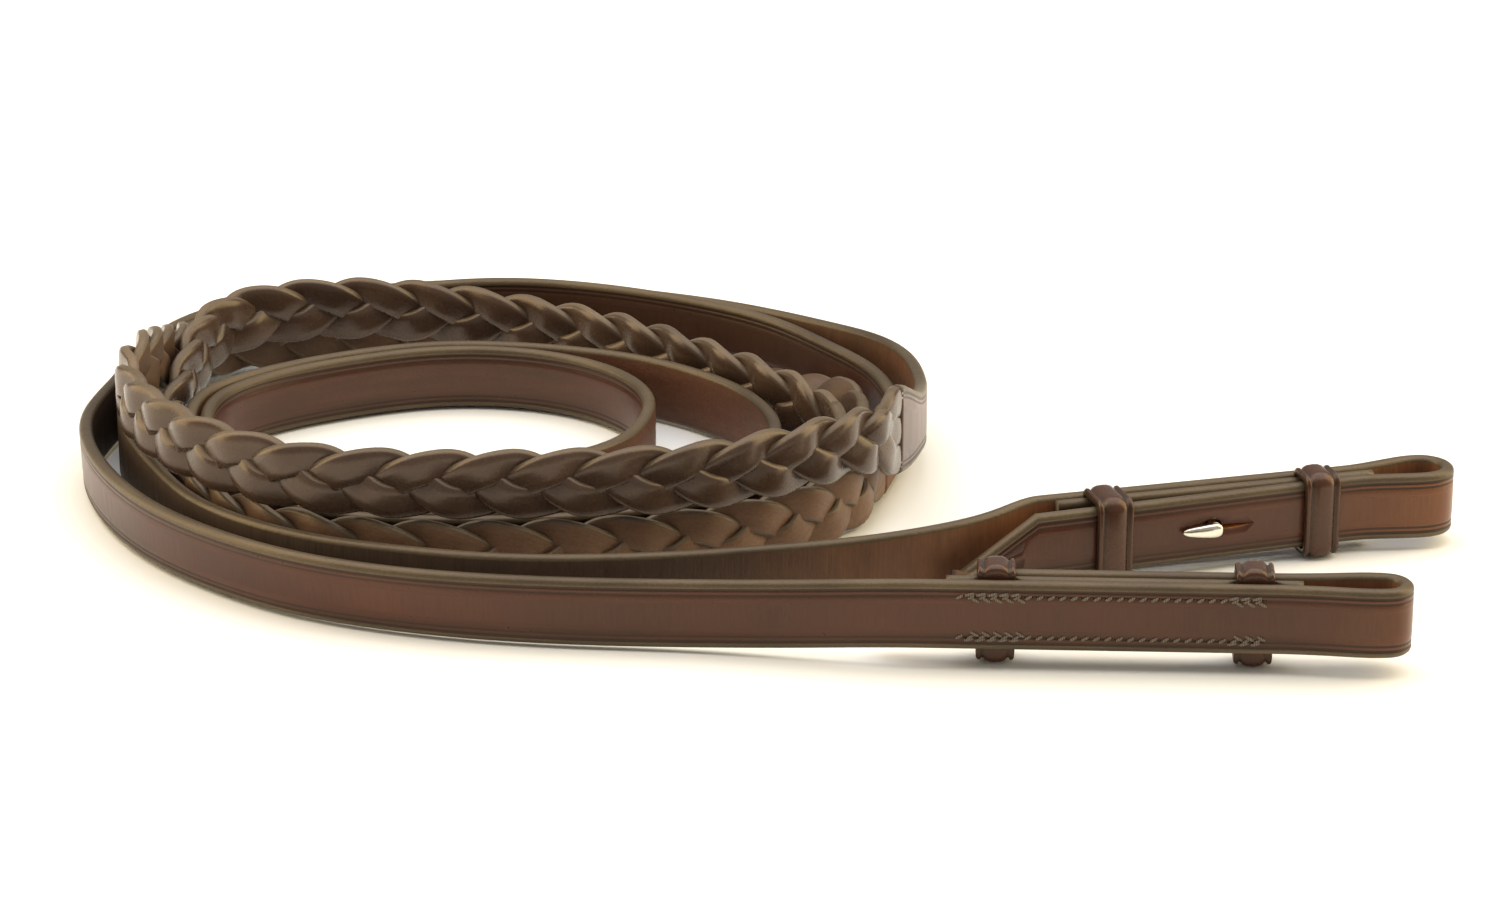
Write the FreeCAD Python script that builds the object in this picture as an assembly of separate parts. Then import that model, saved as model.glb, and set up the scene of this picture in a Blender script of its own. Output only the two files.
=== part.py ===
import FreeCAD, Part
import math
import os

# A pair of plaited leather reins, coiled and standing on the edges of their straps.
# Millimetres, +Z up.  The near (left-hand) rein is the outer one of the coil, the off
# (right-hand) rein the inner one.  Each rein is one long strap: a hook-stud billet, a plain
# part, a plait and a hand part.  A buckle joins the two hand parts.
V = FreeCAD.Vector
os.makedirs("parts", exist_ok=True)

# ---------------------------------------------------------------- driving dimensions
strap_w = 16.0          # width of the strap, upright in the coil
strap_t = 3.4           # thickness of the leather
plait_w = 17.0          # width of the finished plait
plait_t = 6.0           # thickness of the finished plait
root_w = 22.5           # width of the strap where it is slit into the plait's strands
flare_length = 30.0     # length over which the strap widens towards the slits
coil_middle = (1.8, 103.0)   # middle of the coil in plan, which becomes the origin

keeper_t = 2.0          # leather of a keeper
keeper_w = 9.0          # width of a keeper along the strap
keeper_gap = 0.25       # play between a keeper and what it holds
billet_lift = keeper_t + keeper_gap     # the keepers stand on the ground and lift the billet
stay_t = 3.0            # the stay that carries the hook stud
stay_from = -11.0       # ends of the stay, along the billet from the first keeper
stay_to = 67.0
stay_inlet = 1.2        # depth of the recess in the stay that takes a keeper's ends
glue = 0.15             # between the strap and the stay
tongue_play = 0.35      # between the stay and the tongue
spread_from = 58.0      # the tongue lies parallel to the strap beyond this
tongue_slant = 21.0     # length of the slanted cut at the tongue's end
layer = strap_t / 2 + glue + stay_t + tongue_play + strap_t / 2

eye_trim = 0.15         # leather pared off inside the fold to make the eye round

stud_at = 25.0          # hook stud, along the billet from the first keeper
stud_neck_r = 1.5
washer_r = 3.6
washer_t = 1.0
stud_nose_l = 11.0
stud_nose_h = 3.6
stud_nose_t = 2.6
slit_length = 10.0      # slit that lets the tongue pass over the nose

stitch_pitch = 2.5
stitch_l = 1.9
stitch_w = 0.7
stitch_t = 0.4
stitch_in = 2.6         # distance of a row of stitches from the edge of the strap

bar_r = 1.5             # wire of the centre buckle
bar_play = 0.3          # between the bar and the leather folded round it
buckle_reach = 13.0     # between the bar and the far side of the buckle
buckle_half = 9.8       # half the distance between the middles of the buckle's side wires
buckle_rise = 5.4       # how far the far side stands out from the bar
chape_end = 33.0        # end of the folded chape, from the bar
tip_end = 40.0          # end of the other rein's point, from the bar
buckle_z = buckle_half + bar_r + 0.2    # height of the middle of the buckle
bar_at = (-72.0, 60.9)  # the bar in plan
main_off = 1.8          # the buckled strap runs this far in front of the bar's axis
prong_r = 1.1
prong_rise = buckle_rise + 3.3   # the prong lies on the far side of the buckle
prong_room = 2.1        # radius of the hole for the prong


# ---------------------------------------------------------------- smooth routes
def smooth(rows):
    """Natural cubic through the rows over their chord lengths: returns value(u) and the knots."""
    knots = [0.0]
    for a, b in zip(rows, rows[1:]):
        knots.append(knots[-1] + math.dist(a[:3], b[:3]))
    last = len(rows) - 1
    width = len(rows[0])
    gap = [knots[i + 1] - knots[i] for i in range(last)]
    second = [[0.0] * width for _ in rows]
    for c in range(width):
        up = [0.0] * len(rows)
        rest = [0.0] * len(rows)
        for i in range(1, last):
            pivot = 2 * (gap[i - 1] + gap[i]) - gap[i - 1] * up[i - 1]
            up[i] = gap[i] / pivot
            slope_after = (rows[i + 1][c] - rows[i][c]) / gap[i]
            slope_before = (rows[i][c] - rows[i - 1][c]) / gap[i - 1]
            rest[i] = (6 * (slope_after - slope_before) - gap[i - 1] * rest[i - 1]) / pivot
        for i in range(last - 1, 0, -1):
            second[i][c] = rest[i] - up[i] * second[i + 1][c]

    def value(u):
        i = 0
        while i < last - 1 and u > knots[i + 1]:
            i += 1
        h = gap[i]
        a = (knots[i + 1] - u) / h
        b = (u - knots[i]) / h
        out = []
        for c in range(width):
            bend = (a ** 3 - a) * second[i][c] + (b ** 3 - b) * second[i + 1][c]
            out.append(a * rows[i][c] + b * rows[i + 1][c] + bend * h * h / 6)
        return out

    return value, knots


def joined(pieces):
    """One route made of smooth pieces, each starting where the last one ends; a piece is its rows."""
    parts = [smooth(rows) for rows in pieces]
    ends = []
    total = 0.0
    for value, knots in parts:
        ends.append((total, value, knots))
        total += knots[-1]

    def value_at(u):
        for start, value, knots in reversed(ends):
            if u >= start:
                return value(min(u - start, knots[-1]))
        return ends[0][1](0.0)

    return value_at, ends, total


def stations(value, start, end, step, turn):
    """Places along a route, no further apart than step and turning no more than turn degrees."""
    places = [start]
    u = start
    while u < end - 1e-6:
        reach = step
        while True:
            v = min(u + reach, end)
            a = value(u)
            b = value(min(u + 0.2, end))
            c = value(max(v - 0.2, start))
            d = value(v)
            before = math.atan2(b[1] - a[1], b[0] - a[0])
            after = math.atan2(d[1] - c[1], d[0] - c[0])
            change = abs((after - before + math.pi) % (2 * math.pi) - math.pi)
            if math.degrees(change) <= turn or reach < 0.8:
                break
            reach *= 0.7
        u = v
        places.append(u)
    return places


def section(value, u, limit, width, thick):
    """The four corners of the strap's section at u: the section stands upright, or leans."""
    e = 0.05
    a = value(max(u - e, 0.0))
    b = value(min(u + e, limit))
    x, y, z, lean = value(u)
    size = math.hypot(b[0] - a[0], b[1] - a[1])
    side = V(-(b[1] - a[1]) / size, (b[0] - a[0]) / size, 0)
    tilt = math.radians(lean)
    across = side * math.cos(tilt) + V(0, 0, 1) * math.sin(tilt)
    up = V(0, 0, 1) * math.cos(tilt) - side * math.sin(tilt)
    middle = V(x - coil_middle[0], y - coil_middle[1], z)
    corners = []
    for i, j in ((-1, -1), (1, -1), (1, 1), (-1, 1)):
        corners.append(middle + across * (i * thick / 2) + up * (j * width / 2))
    return corners


def ribbon(value, start, end, limit, width_at, thick, step=9.0, turn=14.0):
    """A band along the route: ruled faces between its four smooth edges, and two flat ends."""
    places = stations(value, start, end, step, turn)
    rings = [section(value, u, limit, width_at(u), thick) for u in places]
    edges = []
    for k in range(4):
        curve = Part.BSplineCurve()
        curve.interpolate(Points=[ring[k] for ring in rings], Parameters=places)
        edges.append(curve)
    knots = edges[0].getKnots()
    mults = edges[0].getMultiplicities()
    faces = []
    for k in range(4):
        poles = [edges[k].getPoles(), edges[(k + 1) % 4].getPoles()]
        surface = Part.BSplineSurface()
        surface.buildFromPolesMultsKnots(poles, [2, 2], mults, [0.0, 1.0], knots, False, False, 1, 3)
        faces.append(surface.toShape())
    for ring in (rings[0], rings[-1]):
        faces.append(Part.Face(Part.makePolygon(ring + [ring[0]])))
    shell = Part.makeShell(faces)
    shell.sewShape()
    solid = Part.makeSolid(Part.Shell(shell.Faces))
    if solid.Volume < 0:
        solid.reverse()
    return solid


def box(x0, x1, y0, y1, z0, z1):
    return Part.makeBox(x1 - x0, y1 - y0, z1 - z0, V(x0, y0, z0))


def export(shape, name):
    shape.exportStep(f"parts/{name}.step")
    print(name, "valid", shape.isValid(), "solids", len(shape.Solids), "volume", round(shape.Volume, 1))
    built[name] = shape


built = {}


# ---------------------------------------------------------------- billets
def ease(t):
    t = min(1.0, max(0.0, t))
    return t * t * (3 - 2 * t)


class Billet:
    """The straight end of a rein: local x runs to the fold, y from the strap to the tongue."""

    def __init__(self, at, angle, side, eye_r, reach, pitch, sag, spread, tip):
        self.at = at
        self.angle = math.radians(angle)
        self.side = side
        self.eye_r = eye_r
        self.pitch = pitch              # between the two keepers
        self.sag = sag                  # how far the keepers hang below the strap
        self.spread = spread            # how much wider the stack of leather is at the first keeper
        self.tip = tip                  # end of the tongue, along the billet from the first keeper
        self.fold_r = eye_r + strap_t / 2 - eye_trim
        self.bulge = self.fold_r - layer / 2
        self.eye_x = reach - eye_r - strap_t
        self.mid_z = billet_lift + sag + strap_w / 2

    def plan(self, x, y):
        c = math.cos(self.angle)
        s = math.sin(self.angle)
        y = y * self.side
        return (self.at[0] + x * c - y * s, self.at[1] + x * s + y * c)

    def tongue_y(self, x):
        """Middle of the tongue's leather: it leans away from the strap towards its tip."""
        return layer + self.spread * max(0.0, spread_from - x) / spread_from

    def row(self, x, y):
        return (*self.plan(x, y), self.mid_z, 0.0)

    def pieces(self):
        """The route from the tongue's end, round the fold, to the end of the straight strap."""
        leg = [(x, self.bulge * ease((x - 61.0) / (self.eye_x - 61.0))) for x in (60, 63, 66, 69, 73)]
        eye = [self.row(x, layer + out) for x, out in leg]
        for step in range(7):
            turn = math.pi / 2 - step * math.pi / 6
            x = self.eye_x + self.fold_r * math.cos(turn)
            eye.append(self.row(x, layer / 2 + self.fold_r * math.sin(turn)))
        eye += [self.row(x, -out) for x, out in reversed(leg)]
        tongue = [self.row(self.tip, self.tongue_y(self.tip)), self.row(spread_from, layer)]
        flat = [tongue[-1], eye[0]]
        strap = [eye[-1], self.row(stay_from - 1, 0.0)]
        return [tongue, flat, eye, strap]

    def lead(self):
        """The first rows of the plain part, still in line with the billet."""
        return [self.row(stay_from - x, 0.0) for x in (1, 2, 3)]

    def place(self, shape):
        """Moves a shape from the billet's own frame, with z from the middle, to the coil."""
        shape = shape.copy()
        if self.side < 0:
            shape = shape.mirror(V(0, 0, 0), V(0, 1, 0))
        shape.rotate(V(0, 0, 0), V(0, 0, 1), math.degrees(self.angle))
        shape.translate(V(self.at[0] - coil_middle[0], self.at[1] - coil_middle[1], self.mid_z))
        return shape

    # The pieces below are in the billet's own frame.
    def tongue_cuts(self):
        """The slanted end, the hole and the slit of the tongue, and the round of the eye."""
        y0 = layer - strap_t / 2 - 0.2
        y1 = layer + strap_t
        low = -strap_w / 2 + 1.0
        high = strap_w / 2 + 0.5
        x = self.tip - 1.0
        outline = [V(x, y0, low), V(x + tongue_slant, y0, high), V(x, y0, high), V(x, y0, low)]
        slant = Part.Face(Part.makePolygon(outline)).extrude(V(0, y1 - y0, 0))
        lean = math.degrees(math.atan(self.spread / spread_from))
        slant.rotate(V(spread_from, layer, 0), V(0, 0, 1), -lean)
        deep = strap_t + 1 + self.spread
        hole = Part.makeCylinder(stud_neck_r + 0.5, deep, V(stud_at, y0, 0), V(0, 1, 0))
        eye = Part.makeCylinder(self.eye_r, strap_w * 2, V(self.eye_x, layer / 2, -strap_w))
        slit = box(stud_at, stud_at + slit_length, y0, y0 + deep, -0.3, 0.3)
        return [slant, hole.fuse(slit), eye]

    def stay(self):
        half = strap_w / 2 - 0.4
        y0 = strap_t / 2 + glue
        body = box(stay_from, stay_to, y0, y0 + stay_t, -half, half)
        for x in (0.0, self.pitch):
            inlet = box(x - keeper_w / 2, x + keeper_w / 2, y0, y0 + stay_inlet, -half, half)
            body = body.cut(inlet)
        neck = Part.makeCylinder(stud_neck_r, stay_t, V(stud_at, y0, 0), V(0, 1, 0))
        seat = Part.makeCylinder(washer_r, washer_t, V(stud_at, y0, 0), V(0, 1, 0))
        return body.cut(neck).cut(seat)

    def washer(self):
        """The disc between the strap and the stay that the stud is riveted over."""
        y0 = strap_t / 2 + glue
        disc = Part.makeCylinder(washer_r, washer_t, V(stud_at, y0, 0), V(0, 1, 0))
        return disc.cut(Part.makeCylinder(stud_neck_r, washer_t, V(stud_at, y0, 0), V(0, 1, 0)))

    def keeper(self, x):
        """A closed loop let into the back of the stay and passing round the tongue."""
        y0 = strap_t / 2 + glue
        y1 = self.tongue_y(x - keeper_w / 2) + strap_t / 2 + keeper_gap
        half = strap_w / 2 + keeper_gap
        low = -half - self.sag
        outer = box(x - keeper_w / 2, x + keeper_w / 2, y0, y1 + keeper_t, low - keeper_t, half + keeper_t)
        corners = [e for e in outer.Edges if e.Vertexes[0].Point.y > y1 and abs(e.tangentAt(e.FirstParameter).x) > 0.9]
        outer = outer.makeFillet(keeper_t * 0.9, corners)
        inner = box(x - keeper_w, x + keeper_w, y0 + stay_inlet, y1, low, half)
        return outer.cut(inner)

    def stud(self):
        """Neck and nose of the hook stud in one piece of metal."""
        y0 = strap_t / 2 + glue
        y1 = self.tongue_y(stud_at - stud_nose_l) + strap_t / 2 + 0.2
        neck = Part.makeCylinder(stud_neck_r, y1 - y0 + stud_nose_t / 2, V(stud_at, y0, 0), V(0, 1, 0))
        outline = [
            V(stud_at + stud_neck_r + 0.4, y1, 0),
            V(stud_at + stud_neck_r - 0.8, y1 + stud_nose_t, 0),
            V(stud_at - stud_nose_l * 0.45, y1 + stud_nose_t, 0),
            V(stud_at - stud_nose_l + stud_neck_r, y1 + stud_nose_t * 0.5, 0),
            V(stud_at - stud_nose_l + stud_neck_r + 1.2, y1, 0),
        ]
        outline = [p - V(0, 0, stud_nose_h / 2) for p in outline]
        nose = Part.Face(Part.makePolygon(outline + [outline[0]])).extrude(V(0, 0, stud_nose_h))
        upright = [e for e in nose.Edges if abs(e.tangentAt(e.FirstParameter).z) < 0.9]
        nose = nose.makeFillet(0.7, upright)
        return neck.fuse(nose).removeSplitter()

    def stitches(self):
        """Two rows of saddle stitches on the outer face of the strap."""
        y = -strap_t / 2 - 0.05
        count = int((stay_to - stay_from - 9) / stitch_pitch)
        tilt = 20.0
        solids = []
        for z in (-strap_w / 2 + stitch_in, strap_w / 2 - stitch_in):
            for k in range(count):
                x = stay_from + 3 + k * stitch_pitch
                stitch = box(-stitch_l / 2, stitch_l / 2, -stitch_t, 0, -stitch_w / 2, stitch_w / 2)
                ends = [e for e in stitch.Edges if abs(e.tangentAt(e.FirstParameter).y) > 0.9]
                stitch = stitch.makeFillet(stitch_w * 0.42, ends)
                stitch.rotate(V(0, 0, 0), V(0, 1, 0), tilt)
                stitch.translate(V(x, y, z))
                solids.append(stitch)
        return Part.makeCompound(solids)


near_billet = Billet((53.8, -10.2), -2.6, 1, 3.2, 91.3, 56.5, 2.0, 0.0, -25.0)
off_billet = Billet((80.3, 51.8), 15.4, -1, 4.4, 87.3, 52.0, 0.0, 3.2, -39.5)

# ---------------------------------------------------------------- routes of the reins
# Rows are x and y in plan, height of the section's middle, and its lean in degrees.
half_w = strap_w / 2 + 0.1
half_p = plait_w / 2 + 0.2
top_p = half_p + plait_w + 0.2          # a plait that lies on the other one

near_plain = [
    (24, -7.3, half_w + 3.3, 0), (12, -4.8, half_w + 2.2, 0), (-12, -0.4, half_w + 0.5, 0),
    (-35, 1.7, half_w + 0.1, -1), (-60, 4.8, half_w + 0.1, -4), (-83, 10.6, half_w + 0.1, -7),
    (-104, 20, half_w + 0.1, -7), (-122, 33.5, half_w + 0.1, -7), (-137.6, 50.3, half_w + 0.1, -6),
    (-150.1, 71, half_w + 0.1, -4), (-158.5, 93.5, half_w + 0.1, -3), (-161.5, 112, half_w, -1),
    (-160.4, 127, half_w, 0), (-158.2, 140, half_w, 0), (-155.4, 161, half_w, 0),
    (-150.9, 177.6, half_w, 0), (-143.8, 190.8, half_w, 0), (-132.2, 201.5, half_w, 0),
    (-117.9, 208.7, half_w, 0), (-101, 213.3, half_w, 0), (-83.4, 217.1, half_w, 0),
    (-66, 218.4, half_w, 0), (-49, 216.5, half_w, 0), (-30.3, 210.2, half_w, 0),
    (-11.6, 200.5, half_w + 0.7, 0), (9.4, 184.9, half_w + 1.8, 0), (21.5, 173.6, half_w + 2.6, 0),
    (31.6, 162.6, half_w + 3.3, 0), (38.4, 149.4, half_w + 3.8, 0), (41.4, 134, half_w + 4.3, 0),
    (41.9, 121, half_w + 4.9, 0), (40.4, 108, half_w + 6.9, 0), (38.0, 95.5, half_w + 10.2, 0),
]
near_plait = [
    (34.4, 82.2, 22.2, 0), (29.5, 69.3, 24.8, 0), (22, 60, top_p + 0.5, 0), (13.5, 52.3, top_p + 0.8, 0),
    (3, 46, top_p + 0.6, 0), (-11, 40.6, top_p, 0), (-33, 36.5, top_p, 0), (-57, 35, top_p, 0),
    (-82, 35, top_p + 0.3, 0), (-103, 38.2, top_p + 0.9, 0), (-119, 47.5, top_p + 1.2, 0),
    (-132, 60.5, top_p + 1.2, 0), (-142.5, 78, top_p + 0.8, 0), (-149, 97, top_p - 0.2, 0),
    (-150.4, 111, top_p - 0.5, 0), (-148.5, 123, 25.2, 0), (-147.9, 135, 22.2, 0),
    (-147, 148, 18.4, 0), (-145.4, 161, 14.4, 0), (-142.8, 173.3, 11.4, 0), (-136.8, 183.9, half_p + 0.9, 0),
    (-127.4, 191, half_p, 0), (-115, 195.6, half_p, 0), (-92, 199, half_p + 0.4, -14),
    (-71, 200.2, half_p, -45), (-50, 197.2, 5.6, -76), (-30, 187.5, 4.3, -84), (-11, 175, 4.3, -84),
    (5.5, 159.5, 5.0, -78), (16, 144.5, 7.6, -58), (22.8, 131.5, half_p + 0.5, -28),
]
near_hand = [
    (27.0, 119, half_p + 0.1, -5), (27.4, 108, half_w, 0), (24.7, 97, half_w, 0), (20.6, 85.5, half_w, 0),
    (14.2, 74, half_w, 0), (5, 63.3, half_w, 0), (-8, 54, half_w, 0), (-25, 46.6, half_w, 0),
    (-50, 41.5, half_w, 0), (-75, 40.8, half_w, 0), (-94, 44.4, half_w, 0),
    (-108.5, 53, half_w, 0), (-119.5, 66, half_w, 0), (-128.3, 82, half_w, 0),
    (-134.3, 99, half_w, 0), (-136.8, 115, half_w, 0), (-134.8, 129.5, half_w, 0),
    (-121, 146.8, half_w, 0), (-102.3, 158.6, half_w, 0), (-79, 166.4, half_w, 0),
    (-62, 166, half_w, 0), (-45, 162.4, half_w, 0), (-27, 155, half_w, 0),
    (-14.5, 145.6, half_w, 0), (-2.4, 131.2, half_w, 0), (3.8, 117.3, half_w, 0),
    (6, 105, half_w, 0), (5, 93.5, half_w, 0), (0, 81, half_w + 0.2, 0),
    (-8, 71.5, half_w + 0.9, 0), (-17, 64.6, half_w + 2.0, 0), (-28, 60.2, half_w + 3.0, 0),
]
off_plain = [
    (57.8, 43.2, half_w + 1.0, 0), (46.4, 36.2, half_w + 0.3, 0), (34.0, 30.6, half_w + 0.1, 0),
    (18, 25.4, half_w, 0), (2, 21.7, half_w, 0),
    (-15, 18.5, half_w, 0), (-38, 16.3, half_w, 0), (-58, 17.2, half_w, 0), (-78, 21.6, half_w, 0),
    (-96, 27.8, half_w, 0), (-113, 38, half_w, 0), (-128, 53, half_w, 0), (-139, 73, half_w, 0),
    (-147.4, 93, half_w, 0), (-152.2, 109, half_w, 0), (-154, 124, half_w, 0),
    (-153.5, 138, half_w, 0), (-152.0, 150, half_w, 0), (-150.6, 162, half_w, 0),
    (-147.2, 176, half_w, 0), (-140.8, 188.2, half_w, 0), (-130, 198, half_w, 0),
    (-116.5, 204.8, half_w, 0), (-100, 209.3, half_w + 0.6, 0), (-83, 213.2, half_w + 1.2, 0),
    (-66, 214.5, half_w + 1.6, 0), (-50, 212.6, half_w + 1.6, 0), (-32, 206.5, half_w + 1.6, 0),
    (-14, 197, half_w + 1.6, 0), (6.5, 180.5, half_w + 1.6, 0), (20.5, 162, half_w + 1.2, 0),
    (30.8, 145.5, half_w + 0.5, 0), (35.2, 127, half_w + 0.1, 0), (34.6, 111, half_w + 2.0, 0),
]
off_plait = [
    (31.4, 97, root_w / 2 + 0.2, 0), (28.4, 85.7, half_p + 0.9, 0), (24.2, 74.7, half_p, 0),
    (17.2, 64.1, half_p, 0), (7, 55, half_p, 0), (-6, 47, half_p, 0), (-20, 41.4, half_p, 0),
    (-38, 37.2, half_p, 0), (-57, 35.4, half_p, 0), (-80, 35.5, half_p + 0.2, 0), (-100, 39.4, half_p + 0.7, 0),
    (-115, 48.5, half_p + 1, 0), (-126, 61.2, half_p + 1, 0), (-135.2, 80, half_p + 0.7, 0),
    (-140, 97, half_p + 0.1, 0), (-142, 112, half_p, 0), (-142.2, 124, half_p + 1, 0),
    (-141.3, 136, half_p + 3.8, 0), (-140.4, 148.5, half_p + 6.8, 0), (-138.9, 160, half_p + 8.3, 0),
    (-136.3, 170.6, half_p + 8.8, 0), (-131.2, 179, half_p + 8.8, 0), (-123.6, 184.8, half_p + 8.8, 0),
    (-112.6, 188.6, half_p + 8.7, 0), (-92, 190.4, half_p + 8.1, 0), (-72, 188, half_p + 6.7, 0), (-53, 182.6, half_p + 5.3, 0),
    (-33, 169.2, half_p + 5.6, 0), (-14, 153, half_p + 5.2, 0), (3, 137, half_p + 4.2, 0),
    (14.5, 125, half_p + 2.6, 0),
]
off_hand = [
    (20.8, 114.5, half_p + 1.0, 0), (22.2, 104.5, half_w + 0.2, 0), (20.0, 95, half_w, 0), (16.3, 85, half_w, 0),
    (10, 75.4, half_w, 0), (1.3, 66.2, half_w, 0), (-10.5, 58, half_w, 0), (-27, 50.8, half_w, 0),
    (-50, 45.8, half_w, 0), (-74, 45, half_w, 0), (-91.6, 48.2, half_w, 0),
    (-105.6, 56.4, half_w, 0), (-116, 68.4, half_w, 0), (-124.6, 84, half_w, 0),
    (-130.3, 100, half_w, 0), (-132.6, 114, half_w, 0), (-130.8, 127.5, half_w, 0),
    (-118.2, 143.6, half_w, 0), (-100.3, 154.7, half_w, 0), (-79, 162.2, half_w, 0),
    (-61, 161.6, half_w, 0), (-45.5, 155.5, half_w, 0), (-34, 145.5, half_w, 0),
    (-27.3, 134, half_w, 0), (-24.8, 121.5, half_w, 0), (-26, 109, half_w, 0),
    (-30, 96.5, half_w + 0.2, 0), (-37.5, 85.6, half_w + 0.7, 0), (-49, 77, half_w + 1.7, 0),
    (-63, 71.8, half_w + 2.8, 0), (-78, 69.6, buckle_z, 0), (-90, 69.2, buckle_z, 0),
]


def bar_row(x, y):
    """A row at the height of the buckle, x along the strap and y in front of the bar's axis."""
    return (bar_at[0] + x, bar_at[1] - y, buckle_z, 0.0)


def near_end():
    """The near rein's end: along the strap, round the buckle's bar and back as the chape."""
    fold = bar_r + bar_play + strap_t / 2
    lead = [bar_row(x, main_off) for x in (33, 30, 27)]
    bend = [bar_row(9, main_off), bar_row(7.5, main_off), bar_row(4.5, main_off + 0.8)]
    for step in range(7):
        turn = math.pi / 2 + step * math.pi / 6
        bend.append(bar_row(fold * math.cos(turn), fold * math.sin(turn)))
    bend += [bar_row(4.5, -main_off - 0.8), bar_row(7.5, -main_off), bar_row(9, -main_off)]
    straight = [lead[-1], bend[0]]
    chape = [bend[-1], bar_row(chape_end, -main_off)]
    return lead, [straight, bend, chape]


def off_end():
    """The off rein's end: it turns back and its point lies in front of the buckled strap."""
    turn_r = 5.0
    middle = (-92.0, 64.1)
    rows = []
    for step in range(1, 6):
        turn = math.pi / 2 + step * math.pi / 6
        x = middle[0] + turn_r * math.cos(turn)
        rows.append((x, middle[1] + turn_r * math.sin(turn), buckle_z, 0.0))
    over = main_off + strap_t + 0.4
    rows += [bar_row(-buckle_reach, 1.95), bar_row(-6, 5.0), bar_row(0, 7.3), bar_row(6, 6.5)]
    rows += [bar_row(x, over) for x in (10, 12)]
    return rows, [[rows[-1], bar_row(tip_end, over)]]


def make_rein(name, billet, plain, plait, hand, end):
    """The three stretches of a rein as solids, and the route they follow."""
    last_rows, last_pieces = end
    coil = billet.lead() + plain + plait + hand + last_rows
    value, ends, limit = joined(billet.pieces() + [coil] + last_pieces)
    coil_start, _, knots = ends[4]
    root = coil_start + knots[len(billet.lead()) + len(plain)]
    plait_stop = coil_start + knots[len(billet.lead()) + len(plain) + len(plait)]

    def plain_width(u):
        return strap_w + (root_w - strap_w) * ease(1 - (root - u) / flare_length)

    strap = ribbon(value, 0.0, root, limit, plain_width, strap_t)
    woven = ribbon(value, root, plait_stop, limit, lambda u: plait_w, plait_t)
    grip = ribbon(value, plait_stop, limit, limit, lambda u: strap_w, strap_t)
    for tool in billet.tongue_cuts():
        strap = strap.cut(billet.place(tool))
    print(name, "strap", round(root), "plait", round(plait_stop - root), "hand", round(limit - plait_stop))
    return strap, woven, grip


def make_billet(name, billet):
    export(billet.place(billet.stay()), f"{name}_stay")
    export(billet.place(billet.keeper(0.0)), f"{name}_inner_keeper")
    export(billet.place(billet.keeper(billet.pitch)), f"{name}_outer_keeper")
    export(billet.place(billet.stud()), f"{name}_hook_stud")
    export(billet.place(billet.washer()), f"{name}_stud_washer")
    export(billet.place(billet.stitches()), f"{name}_billet_stitching")


# ---------------------------------------------------------------- centre buckle
def at_bar(shape):
    """From the buckle's own frame, x along the strap and y towards its face, to the coil."""
    shape = shape.copy().mirror(V(0, 0, 0), V(0, 1, 0))
    shape.translate(V(bar_at[0] - coil_middle[0], bar_at[1] - coil_middle[1], buckle_z))
    return shape


def rod(a, b, r):
    return Part.makeCylinder(r, (b - a).Length, a, b - a)


def buckle_frame():
    near_low = V(0, 0, -buckle_half)
    near_high = V(0, 0, buckle_half)
    far_low = V(-buckle_reach, buckle_rise, -buckle_half)
    far_high = V(-buckle_reach, buckle_rise, buckle_half)
    ring = [near_low, near_high, far_high, far_low]
    frame = Part.makeSphere(bar_r, near_low)
    for a, b in zip(ring, ring[1:] + ring[:1]):
        frame = frame.fuse(rod(a, b, bar_r)).fuse(Part.makeSphere(bar_r, b))
    return frame.removeSplitter()


def buckle_prong():
    eye_r = bar_r + 0.2
    eye = Part.makeCylinder(eye_r + 1.0, 3.0, V(0, 0, -1.5))
    eye = eye.cut(Part.makeCylinder(eye_r, 3.0, V(0, 0, -1.5)))
    away = V(-buckle_reach, prong_rise, 0)
    tip = away * 1.1
    start = away * ((eye_r + 0.5) / away.Length)
    pin = rod(start, tip, prong_r).fuse(Part.makeSphere(prong_r, tip))
    return eye.fuse(pin).removeSplitter()


def prong_hole():
    """The hole that the prong passes through, in the off rein's point."""
    return rod(V(0, 0, 0), V(-buckle_reach, prong_rise, 0), prong_room)


def strap_loop(x, width, wall):
    """A keeper round the folded strap and the point that lies on it."""
    back = -main_off - strap_t / 2 - keeper_gap
    front = main_off + strap_t + 0.4 + strap_t / 2 + keeper_gap
    half = strap_w / 2 + keeper_gap
    outer = box(x - width / 2, x + width / 2, back - wall, front + wall, -half - wall, half + wall)
    corners = [e for e in outer.Edges if abs(e.tangentAt(e.FirstParameter).x) > 0.9]
    outer = outer.makeFillet(wall * 0.9, corners)
    return outer.cut(box(x - width, x + width, back, front, -half, half))


def chape_stitches():
    """Two rows of stitches through the folded chape, on its back."""
    y = -main_off - strap_t / 2 - 0.05
    solids = []
    for z in (-strap_w / 2 + stitch_in, strap_w / 2 - stitch_in):
        for k in range(2):
            stitch = box(-stitch_l / 2, stitch_l / 2, -stitch_t, 0, -stitch_w / 2, stitch_w / 2)
            stitch.translate(V(9.6 + k * stitch_pitch, y, z))
            solids.append(stitch)
    return Part.makeCompound(solids)


# ---------------------------------------------------------------- build
near_strap, near_woven, near_grip = make_rein(
    "near", near_billet, near_plain, near_plait, near_hand, near_end())
off_strap, off_woven, off_grip = make_rein(
    "off", off_billet, off_plain, off_plait, off_hand, off_end())

near_grip = near_grip.cut(at_bar(box(-6, 7, -4.0, 9, -2.0, 2.0)))
off_grip = off_grip.cut(at_bar(prong_hole()))

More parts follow.
